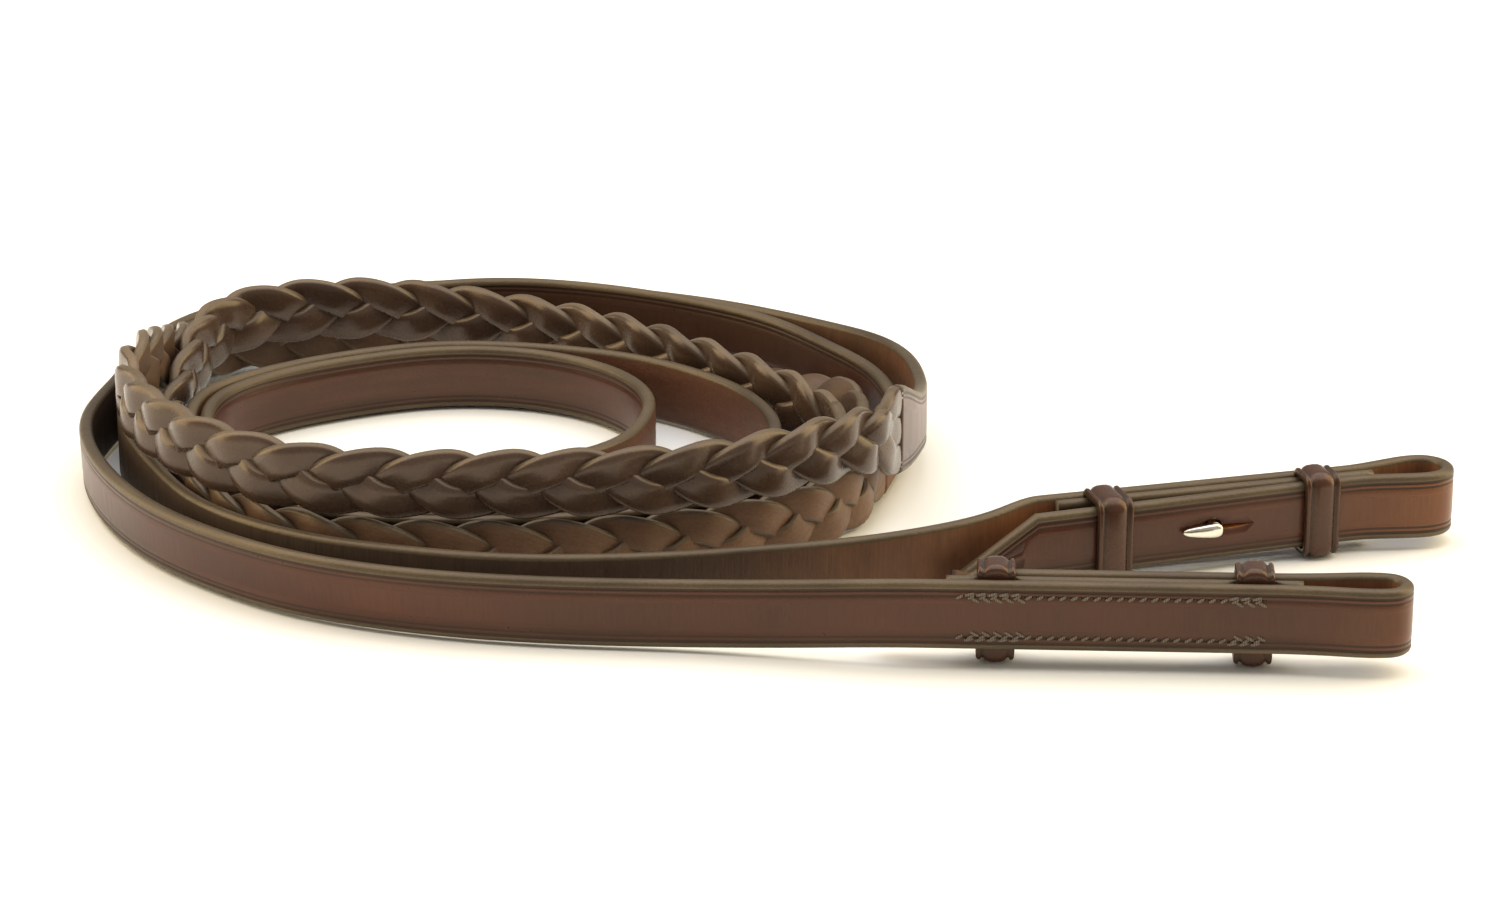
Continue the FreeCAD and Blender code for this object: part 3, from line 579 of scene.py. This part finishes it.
metal_mat = metal("plated_metal", (0.80, 0.76, 0.66), 0.16)
thread_mat = thread("waxed_thread", (0.05, 0.036, 0.024), (0.19, 0.150, 0.105))

# Material slots of a strap. A punched hole brings its own material into the fourth.
strap_mats = (grain_mat, edge_mat, flesh_mat, cut_mat, crease_and_hole_shade_mat)
hand_mats = (grain_mat, edge_mat, hand_flesh_mat, cut_mat, crease_and_hole_shade_mat)
GRAIN, EDGE, FLESH, CUT, CREASE = range(5)


# ---------------------------------------------------------------- mesh helpers
def make_object(name, verts, faces, mats, face_mats=None, uvs=None, shade=True):
    mesh = bpy.data.meshes.new(name)
    mesh.from_pydata([v * MM for v in verts], [], faces)
    for mat in mats:
        mesh.materials.append(mat)
    if face_mats:
        mesh.polygons.foreach_set("material_index", face_mats)
    layer_uv = mesh.uv_layers.new(name="UVMap")
    if uvs:
        flat = [c * MM for corner in uvs for c in corner]
        layer_uv.data.foreach_set("uv", flat)
    mesh.validate()
    bm = bmesh.new()
    bm.from_mesh(mesh)
    bmesh.ops.recalc_face_normals(bm, faces=bm.faces)
    bm.to_mesh(mesh)
    bm.free()
    if shade:
        mesh.polygons.foreach_set("use_smooth", [True] * len(mesh.polygons))
    ob = bpy.data.objects.new(name, mesh)
    bpy.context.scene.collection.objects.link(ob)
    return ob


def sweep(name, rings, alongs, kinds, mats, closed=False, cap_kind=EDGE):
    """Skins rings of points; kinds gives the material of each side of the ring."""
    count = len(rings[0])
    verts = [p for ring in rings for p in ring]
    girth = [0.0]
    for k in range(count):
        girth.append(girth[-1] + (rings[0][(k + 1) % count] - rings[0][k]).length)
    faces = []
    face_mats = []
    uvs = []
    spans = len(rings) if closed else len(rings) - 1
    for i in range(spans):
        j = (i + 1) % len(rings)
        u0 = alongs[i]
        u1 = alongs[j] if j else alongs[i] + (alongs[1] - alongs[0])
        for k in range(count):
            n = (k + 1) % count
            faces.append((i * count + k, i * count + n, j * count + n, j * count + k))
            face_mats.append(kinds[k])
            uvs += [(u0, girth[k]), (u0, girth[k + 1]), (u1, girth[k + 1]), (u1, girth[k])]
    if not closed:
        for i, order in ((0, 1), (len(rings) - 1, -1)):
            middle = sum(rings[i], Vector()) / count
            verts.append(middle)
            hub = len(verts) - 1
            for k in range(count):
                n = (k + 1) % count
                a = i * count + k
                b = i * count + n
                faces.append((hub, b, a) if order > 0 else (hub, a, b))
                face_mats.append(cap_kind)
                uvs += [(alongs[i], girth[k])] * 3
    return make_object(name, verts, faces, mats, face_mats, uvs)


def strap_profile(low, high, thick, grain, crease=1.0):
    """Points (across, up) and kinds round a strap: creased grain side, round edges, flesh side."""
    a = thick / 2
    r = 1.15                    # of the round edges
    points = []
    kinds = []

    def put(v, z, kind):
        points.append((v * grain, z))
        kinds.append(kind)

    groove = 0.30 * crease
    faint = 0.14 * crease
    # in from the edge, height over the grain side, kind: a raised rim, a deep crease and a faint one
    inset = (
        (r, 0.0, EDGE), (1.55, 0.03, CREASE), (1.92, -groove, CREASE), (2.25, -0.02, GRAIN),
        (2.8, 0.0, CREASE), (3.1, -faint, CREASE), (3.35, 0.0, GRAIN), (4.6, 0.03, GRAIN))
    for d, h, kind in inset:
        put(a + h, low + d, kind)
    for t in (0.33, 0.5, 0.67):
        put(a + 0.04, low + (high - low) * t, GRAIN)
    for k in range(len(inset) - 1, -1, -1):
        d, h, kind = inset[k]
        put(a + h, high - d, inset[k - 1][2] if k else EDGE)
    for turn in (25, 50, 75, 105, 130, 155):
        c = math.cos(math.radians(turn))
        s = math.sin(math.radians(turn))
        put(c * a, high - r + s * r, EDGE)
    for t in (0.0, 0.3, 0.7, 1.0):
        put(-a, high - r - (high - low - 2 * r) * t, FLESH if t < 1 else EDGE)
    for turn in (205, 230, 255, 285, 310, 335):
        c = math.cos(math.radians(turn))
        s = math.sin(math.radians(turn))
        put(c * a, low + r + s * r, EDGE)
    return points, kinds


def strap_rings(rein, start, end, low_high, step=3.0, turn=5.0, extra=()):
    places = sorted(set(rein.stations(start, end, step, turn)) | set(extra))
    rings = []
    kinds = None
    for u in places:
        middle, across, up = rein.frame(u)
        low, high, thick = low_high(u)
        points, kinds = strap_profile(low, high, thick, rein.grain)
        rings.append([middle + across * v + up * z for v, z in points])
    return places, rings, kinds


def finish(ob, node, target=body):
    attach(ob, target)
    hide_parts(node)


def punch(ob, cutters):
    """Cuts holes whose walls show bare leather."""
    for cutter in cutters:
        mod = ob.modifiers.new("hole", "BOOLEAN")
        mod.operation = "DIFFERENCE"
        mod.solver = "EXACT"
        mod.material_mode = "TRANSFER"
        mod.object = cutter
    deps = bpy.context.evaluated_depsgraph_get()
    mesh = bpy.data.meshes.new_from_object(ob.evaluated_get(deps))
    ob.modifiers.clear()
    old = ob.data
    ob.data = mesh
    bpy.data.meshes.remove(old)
    for cutter in cutters:
        bpy.data.objects.remove(cutter)


def prism(name, outline, depth):
    """A cutter: an outline of points pushed along a vector."""
    count = len(outline)
    verts = list(outline) + [p + depth for p in outline]
    faces = [tuple(range(count)), tuple(range(2 * count - 1, count - 1, -1))]
    faces += [(k, (k + 1) % count, count + (k + 1) % count, count + k) for k in range(count)]
    return make_object(name, verts, faces, (cut_mat,), shade=False)


# ---------------------------------------------------------------- straps
def make_straps(rein):
    def plain(u):
        if u < tongue_slant:
            # slanted cut: the point is at the bottom edge
            t = u / tongue_slant
            high = -strap_w / 2 + tongue_point + (strap_w - tongue_point) * t
            low = -strap_w / 2 + 1.0 * (1 - ease(u / 4.0))
            return low, high, strap_t
        t = ease(1 - (rein.root - u) / flare_length)
        half = (strap_w + (root_w - strap_w) * t) / 2
        return -half, half, strap_t

    # close sections along the slanted cut
    extra = [float(k) for k in range(24)]
    places, rings, kinds = strap_rings(rein, 0.0, rein.root, plain, extra=extra)
    ob = sweep(f"{rein.name}_strap_leather", rings, places, kinds, strap_mats)
    b = rein.billet
    inside = layer - 3
    hole = [b.point(stud_at - 0.4 + 2.9 * c, inside, 2.1 * s) for c, s in circle(20)]
    slit_top = ((1.5, 0.7), (6.0, 0.45), (slit_length, 0.1))
    slit = [b.point(stud_at + x, inside, z) for x, z in slit_top]
    slit += [b.point(stud_at + x, inside, -z) for x, z in reversed(slit_top)]
    through = b.point(0, 6 + b.spread, 0) - b.point(0, 0, 0)
    punch(ob, [prism("hole_cutter", hole, through), prism("slit_cutter", slit, through)])
    finish(ob, f"{rein.name}_strap")

    def hand(u):
        # the hand part narrows from the plait's last width
        t = ease((u - rein.stop) / plait_end_length)
        half = (plait_end_w + (strap_w - plait_end_w) * t) / 2
        left = rein.length - u
        if rein is off and left < point_length:
            round_end = math.sqrt(max(0.0, 1 - (1 - left / point_length) ** 2))
            half = min(half, point_half + (strap_w / 2 - point_half) * round_end)
        return -half, half, strap_t

    extra = [rein.length - 0.02 - k * 0.8 for k in range(12)] if rein is off else []
    places, rings, kinds = strap_rings(rein, rein.stop, rein.length, hand, extra=extra)
    ob = sweep(f"{rein.name}_hand_leather", rings, places, kinds, hand_mats)
    centre = Vector((bar_at[0] - coil_middle[0], bar_at[1] - coil_middle[1], buckle_z))
    if rein is near:
        low = -slot_half
        slot = [centre + Vector(p) for p in ((-6, 4, low), (7, 4, low), (7, -9, low), (-6, -9, low))]
        punch(ob, [prism("prong_slot", slot, Vector((0, 0, 2 * slot_half)))])
    else:
        away = Vector((-buckle_reach, -prong_rise, 0))
        flat = Vector((-away.y, away.x, 0)).normalized()
        up = Vector((0, 0, 1))
        rim = [centre + flat * 2.0 * c + up * 2.0 * s for c, s in circle(16)]
        spare = [centre + Vector((spare_hole_at + 1.7 * c, -12, 1.7 * s)) for c, s in circle(14)]
        punch(ob, [prism("prong_hole", rim, away), prism("spare_hole", spare, Vector((0, 8, 0)))])
    finish(ob, f"{rein.name}_hand_part")


# ---------------------------------------------------------------- plaits
def strand_profile(width, thick):
    """A strand's section: domed grain side, flat flesh side, soft edges."""
    a = thick / 2
    h = width / 2
    rise = [(-0.91, 0.66), (-0.74, 0.92), (-0.38, 1.0)]
    grain = rise + [(0.0, 1.02)] + [(-x, y) for x, y in reversed(rise)]
    points = [(x * h, y * a) for x, y in grain]
    kinds = [GRAIN] * (len(grain) - 1) + [EDGE]
    edge = [(0.97, 0.15), (1.0, -0.25), (0.95, -0.62), (0.80, -0.86)]
    points += [(x * h, y * a) for x, y in edge]
    kinds += [EDGE] * 3 + [FLESH]
    points += [(0.3 * h, -0.92 * a), (-0.3 * h, -0.92 * a)]
    kinds += [FLESH, FLESH]
    points += [(-x * h, y * a) for x, y in reversed(edge)]
    kinds += [EDGE] * 4
    return points, kinds


def make_plait(rein, stretch, phase):
    """Three strands in one plait, side by side at both ends; the pitch grows by stretch."""
    lap = 1.0                   # the strands begin this far inside the strap
    root = rein.root - lap
    length = rein.stop + 4.0 - root
    steps = int(length)
    theta = [phase]
    for i in range(steps):
        s = length * (i + 0.5) / steps
        pitch = 40.0 + stretch * ease(s / 80.0)
        theta.append(theta[-1] + 2 * math.pi / pitch * length / steps)

    def rank(turn, k):
        """Where strand k lies at an end of the plait: -1, 0 or 1."""
        order = sorted(range(3), key=lambda q: math.sin(turn + 2 * math.pi * q / 3))
        return order.index(k) - 1

    def centre(i, k):
        s = length * i / steps
        middle, across, up = rein.frame(root + s)
        grain = across * rein.grain
        angle = theta[i] + 2 * math.pi * k / 3
        v = strand_swing * (math.sin(angle) + 0.05 * math.sin(3 * angle))
        w = -strand_depth * math.sin(2 * angle)
        start = ease((s - lap - 1.5) / strand_ease)
        stop = ease((length - s - 3.0) / strand_ease)
        woven = min(start, stop)
        if s < length / 2:
            flat = rank(theta[0], k) * 6.95
        else:
            flat = rank(theta[steps], k) * 5.5
        v = v * woven + flat * (1 - woven)
        return middle + up * v + grain * w * woven, grain, woven, s

    # the near plait's flesh side takes the painted-shade copy
    back_mat = strand_shaded_flesh_mat if rein is near else strand_back_mat
    for k in range(3):
        rings = []
        alongs = []
        kinds = None
        run = 0.0
        for i in range(steps + 1):
            here, grain, woven, s = centre(i, k)
            before = centre(max(i - 1, 0), k)[0]
            after = centre(min(i + 1, steps), k)[0]
            along = (after - before).normalized()
            out = (grain - along * grain.dot(along)).normalized()
            side = along.cross(out).normalized()
            end_w = 8.0 if s < length / 2 else 5.6
            width = strand_w * woven + end_w * (1 - woven)
            thick = strand_t * woven + 3.14 * (1 - woven)
            points, kinds = strand_profile(width, thick)
            rings.append([here + side * x + out * y for x, y in points])
            run += (here - before).length
            # each strand has its own piece of the leather's pattern
            alongs.append(run + k * 37.0)
        ob = sweep(f"{rein.name}_plait_strand_{k + 1}", rings, alongs, kinds,
                   (strand_mat, strand_edge_mat, back_mat))
        finish(ob, f"{rein.name}_plait")


# ---------------------------------------------------------------- billets
def make_stay(rein):
    b = rein.billet
    y0 = cad_strap_t / 2 + glue
    half = strap_w / 2 - 0.3
    rings = []
    alongs = []
    kinds = None
    for k in range(int((stay_to - stay_from) / stay_step) + 1):
        x = stay_from + k * stay_step
        points, kinds = strap_profile(-half, half, stay_t, 1, 0.0)
        # the keepers are let into the side that faces the strap
        under = any(abs(x - middle) < keeper_w / 2 + 0.3 for middle in (0.0, b.pitch))
        floor = y0 + (1.3 if under else 0.0)
        rings.append([b.point(x, max(y0 + stay_t / 2 + v, floor), z) for v, z in points])
        alongs.append(x)
    ob = sweep(f"{rein.name}_stay_leather", rings, alongs, kinds, strap_mats)
    finish(ob, f"{rein.name}_stay")


def rounded_loop(y0, y1, z0, z1, r, per_corner=6, per_side=3):
    """Points and outward normals round a rectangle with round corners."""
    corners = ((y1 - r, z1 - r, 0), (y0 + r, z1 - r, 90), (y0 + r, z0 + r, 180), (y1 - r, z0 + r, 270))
    out = []
    for n, (cy, cz, start) in enumerate(corners):
        for k in range(per_corner + 1):
            turn = math.radians(start + 90 * k / per_corner)
            normal = (math.cos(turn), math.sin(turn))
            out.append(((cy + r * normal[0], cz + r * normal[1]), normal))
        (last_y, last_z), normal = out[-1]
        next_y, next_z, start = corners[(n + 1) % 4]
        next_y += r * math.cos(math.radians(start))
        next_z += r * math.sin(math.radians(start))
        for k in range(1, per_side + 1):
            t = k / (per_side + 1)
            out.append(((last_y + (next_y - last_y) * t, last_z + (next_z - last_z) * t), normal))
    return out


def keeper_profile(width, wall):
    """Points (along the strap, outward): a raised band between two creased rims."""
    h = width / 2
    top = [(-h, 0.25), (-h + 0.15, wall - 0.55), (-h + 0.55, wall - 0.15), (-h + 1.0, wall - 0.2),
           (-h + 1.35, wall - 0.75), (-h + 1.75, wall - 0.55), (-h + 2.2, wall - 0.05),
           (-h + 3.1, wall + 0.28), (0.0, wall + 0.36)]
    top += [(-x, y) for x, y in reversed(top[:-1])]
    under = [(h - 0.3, 0.0), (0.0, 0.0), (-h + 0.3, 0.0)]
    return top + under, len(top)


def make_loop(name, place, y0, y1, half, width, wall, node, target=body, sag=0.0):
    """A closed leather keeper round the space from y0 to y1, half each way and sag lower."""
    loop = rounded_loop(y0, y1, -half - sag, half, 0.9)
    profile, tops = keeper_profile(width, wall)
    rings = []
    alongs = []
    run = 0.0
    last = None
    for (y, z), (ny, nz) in loop:
        rings.append([place(x, y + ny * h, z + nz * h) for x, h in profile])
        if last:
            run += math.dist(last, (y, z)) + 0.4
        last = (y, z)
        alongs.append(run)
    band, rim, lining = range(3)
    kinds = [band] * (tops - 1) + [lining] * 3 + [rim]
    for k in (0, 3, 4, tops - 6, tops - 5, tops - 2):
        kinds[k] = rim
    ob = sweep(name, rings, alongs, kinds, (keeper_mat, keeper_rim_mat, flesh_mat), closed=True)
    finish(ob, node, target)


def make_keepers(rein):
    b = rein.billet
    y0 = cad_strap_t / 2 + glue + 1.05
    for word, x0 in (("inner", 0.0), ("outer", b.pitch)):
        y1 = b.tongue_y(x0 - keeper_w / 2) + cad_strap_t / 2 + keeper_gap

        def place(x, y, z, x0=x0):
            return b.point(x0 + x, max(y, cad_strap_t / 2 + 0.12), z)

        node = f"{rein.name}_{word}_keeper"
        make_loop(f"{node}_leather", place, y0, y1, strap_w / 2 + keeper_gap, keeper_w, keeper_t,
                  node, sag=b.sag)


def make_stud(rein):
    """A hook stud: a neck, and a nose like a blunt beak lying along the tongue."""
    b = rein.billet
    face = b.tongue_y(stud_at - 8.0) + strap_t / 2
    rings = []
    alongs = []
    # x from the neck (towards the tongue's end is negative), half height, half thickness, standing out
    shape = (
        (2.1, 0.5, 0.35, 1.5), (2.0, 1.2, 0.75, 1.5), (1.6, 1.75, 1.0, 1.45), (0.6, 2.05, 1.2, 1.4),
        (-1.0, 1.95, 1.25, 1.4), (-3.0, 1.7, 1.15, 1.35), (-5.0, 1.42, 1.0, 1.25),
        (-6.4, 1.1, 0.8, 1.15), (-7.2, 0.7, 0.55, 1.1), (-7.5, 0.25, 0.2, 1.1))
    for x, hz, hy, stand in shape:
        ring = []
        for c, s in circle(20):
            y = face + stand + hy * math.copysign(abs(c) ** 0.85, c)
            z = 0.88 * hz * math.copysign(abs(s) ** 0.85, s)
            ring.append(b.point(stud_at + x - 0.6, y, z))
        rings.append(ring)
        alongs.append(x)
    ob = sweep(f"{rein.name}_stud_nose", rings, alongs, [0] * 20, (metal_mat,), cap_kind=0)
    mod = ob.modifiers.new("fine", "SUBSURF")
    mod.levels = 1
    mod.render_levels = 1
    finish(ob, f"{rein.name}_hook_stud")
    rings = []
    alongs = []
    neck = ((cad_strap_t / 2 + glue, 1.45), (face - 1.5, 1.45), (face + 0.2, 1.5), (face + 1.0, 1.7))
    for y, r in neck:
        rings.append([b.point(stud_at + r * c, y, r * s) for c, s in circle(20)])
        alongs.append(y)
    ob = sweep(f"{rein.name}_stud_neck", rings, alongs, [0] * 20, (metal_mat,), cap_kind=0)
    finish(ob, f"{rein.name}_hook_stud")


def add_spindle(verts, faces, rings):
    """Adds a closed tube through the rings to a mesh's lists."""
    base = len(verts)
    count = len(rings[0])
    for ring in rings:
        verts.extend(ring)
    for i in range(len(rings) - 1):
        a = base + i * count
        for k in range(count):
            n = (k + 1) % count
            faces.append((a + k, a + n, a + count + n, a + count + k))
    last = base + (len(rings) - 1) * count
    faces.append(tuple(base + k for k in range(count)))
    faces.append(tuple(last + k for k in range(count - 1, -1, -1)))


def make_stitches(rein):
    """Slanted stitches along the outer face of the strap, doubled beside the keepers."""
    b = rein.billet
    verts = []
    faces = []
    kinds = []
    y = -strap_t / 2

    def stitch(x, z, size, tilt, lift):
        """One stitch: tilt in degrees from the strap's length, lift above the leather at its middle."""
        before = len(faces)
        c = math.cos(math.radians(tilt))
        s = math.sin(math.radians(tilt))
        rings = []
        for t, r in ((-1, 0.05), (-0.92, 0.55), (-0.6, 0.9), (0, 1), (0.6, 0.9), (0.92, 0.55), (1, 0.05)):
            lx = t * size / 2
            ring = []
            for across, out in circle(8):
                lz = 0.36 * r * across
                ly = 0.26 * r * out - lift * (1 - t * t)
                ring.append(b.point(x + lx * c - lz * s, y + ly, z + lx * s + lz * c))
            rings.append(ring)
        add_spindle(verts, faces, rings)
        kinds.extend([0] * (len(faces) - before))

    def hole(x, z):
        """Painted shade of an awl hole: a dark shallow lens just proud of the leather."""
        base = len(verts)
        verts.append(b.point(x, y - 0.06, z))
        for c, s in circle(8):
            verts.append(b.point(x + 0.62 * c, y + 0.04, z + 0.5 * s))
        verts.append(b.point(x, y + 0.3, z))
        for k in range(8):
            n = (k + 1) % 8
            faces.append((base, base + 1 + k, base + 1 + n))
            faces.append((base + 9, base + 1 + n, base + 1 + k))
        kinds.extend([1] * 16)

    count = int((stay_to - stay_from - 9) / stitch_pitch)
    for sign in (-1, 1):
        z = sign * (strap_w / 2 - stitch_in)
        for k in range(count):
            x = stay_from + 3 + k * stitch_pitch
            stitch(x, z, 1.8, 30, 0.12)
            hole(x + 1.25, z + 0.1)
            for centre in (0.0, b.pitch):
                if abs(x - centre) < keeper_w / 2 + 2.6:
                    stitch(x + 0.9, z - sign * 0.7, 2.3, -30, 0.22)
                    stitch(x - 0.4, z + sign * 0.6, 2.2, 14, 0.22)
    # the holes take the dark crease leather as painted shade
    ob = make_object(f"{rein.name}_stitches", verts, faces, (thread_mat, crease_and_hole_shade_mat), kinds)
    finish(ob, f"{rein.name}_billet_stitching")


# ---------------------------------------------------------------- centre buckle
def at_bar(x, y, z):
    return Vector((bar_at[0] + x - coil_middle[0], bar_at[1] - y - coil_middle[1], buckle_z + z))


def make_buckle():
    back = -main_off - cad_strap_t / 2 - 0.2
    front = main_off + cad_strap_t + 0.4 + cad_strap_t / 2 + 0.2
    for word, x0, target in (("fixed", fixed_at, body), ("running", runner_at, "runner")):
        def place(x, y, z, x0=x0):
            return at_bar(x0 + x, y, z)

        node = f"buckle_{word}_keeper"
        make_loop(f"{node}_leather", place, back, front, strap_w / 2 + keeper_gap, 6.8, 1.5, node, target)
    verts = []
    faces = []
    y = -main_off - cad_strap_t / 2
    for z in (-5.4, 5.4):
        for x in (9.8, 9.8 + stitch_pitch):
            rings = []
            for t, r in ((-1, 0.1), (-0.6, 0.9), (0, 1), (0.6, 0.9), (1, 0.1)):
                rings.append([at_bar(x + t, y - 0.2 * r * s, z + 0.35 * r * c) for c, s in circle(8)])
            add_spindle(verts, faces, rings)
    ob = make_object("chape_stitches", verts, faces, (thread_mat,))
    finish(ob, "chape_stitching")


for rein in (near, off):
    make_straps(rein)
    make_stay(rein)
    make_keepers(rein)
    make_stud(rein)
    make_stitches(rein)
make_plait(near, 5.0, 0.0)
make_plait(off, 4.0, 0.6)
make_buckle()

# CAD pieces whose shape is right keep it and take the plated metal
for name in ("buckle_frame", "buckle_prong", "near_stud_washer", "off_stud_washer"):
    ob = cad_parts[name]
    for place in ob.material_slots:
        place.material = metal_mat


# ---------------------------------------------------------------- floor, light and camera
def set_floor():
    near_by = 3.0
    far = 6.0
    corners = [(-near_by, -near_by, 0), (near_by, -near_by, 0), (near_by, far, 0), (-near_by, far, 0)]
    mesh = bpy.data.meshes.new("floor")
    mesh.from_pydata(corners, [], [(0, 1, 2, 3)])
    mat, tree, bsdf = nodes_of("floor")
    bsdf.inputs["Base Color"].default_value = (0.92, 0.92, 0.92, 1)
    bsdf.inputs["Roughness"].default_value = 0.9
    mesh.materials.append(mat)
    ob = bpy.data.objects.new("floor", mesh)
    ob.location.z = -0.0006
    bpy.context.scene.collection.objects.link(ob)


def area_light(name, place, target, size, power, colour=(1, 1, 1)):
    lamp = bpy.data.lights.new(name, "AREA")
    lamp.shape = "RECTANGLE"
    lamp.size = size[0]
    lamp.size_y = size[1]
    lamp.energy = power
    lamp.color = colour
    ob = bpy.data.objects.new(name, lamp)
    ob.location = place
    ob.rotation_euler = (Vector(target) - Vector(place)).to_track_quat("-Z", "Y").to_euler()
    bpy.context.scene.collection.objects.link(ob)


def set_camera():
    lens = bpy.data.cameras.new("camera")
    lens.lens = 108.552
    lens.sensor_width = 36
    ob = bpy.data.objects.new("camera", lens)
    elevation = 20
    distance = 1.120
    target = Vector((-coil_middle[0], 124 - coil_middle[1], 0)) * MM
    turn = math.radians(elevation)
    ob.location = target + Vector((0, -math.cos(turn), math.sin(turn))) * distance
    ob.rotation_euler = (math.radians(90 - elevation), 0, 0)
    bpy.context.scene.collection.objects.link(ob)
    bpy.context.scene.camera = ob


set_floor()
set_camera()
area_light("left", (-0.9, 0.05, 0.45), (0, 0, 0.0), (0.8, 1.2), 10, (1.0, 0.80, 0.46))
area_light("right", (0.9, 0.05, 0.45), (0, 0, 0.0), (0.8, 1.2), 11, (1.0, 0.82, 0.46))
area_light("top", (0, 0.2, 1.3), (0, 0, 0), (1.8, 1.8), 20)
world = bpy.data.worlds.new("studio")
world.use_nodes = True
background = world.node_tree.nodes["Background"]
background.inputs["Color"].default_value = (1.0, 0.96, 0.88, 1.0)
background.inputs["Strength"].default_value = 0.42
bpy.context.scene.world = world
bpy.context.scene.view_settings.view_transform = "Standard"

bpy.context.view_layer.update()
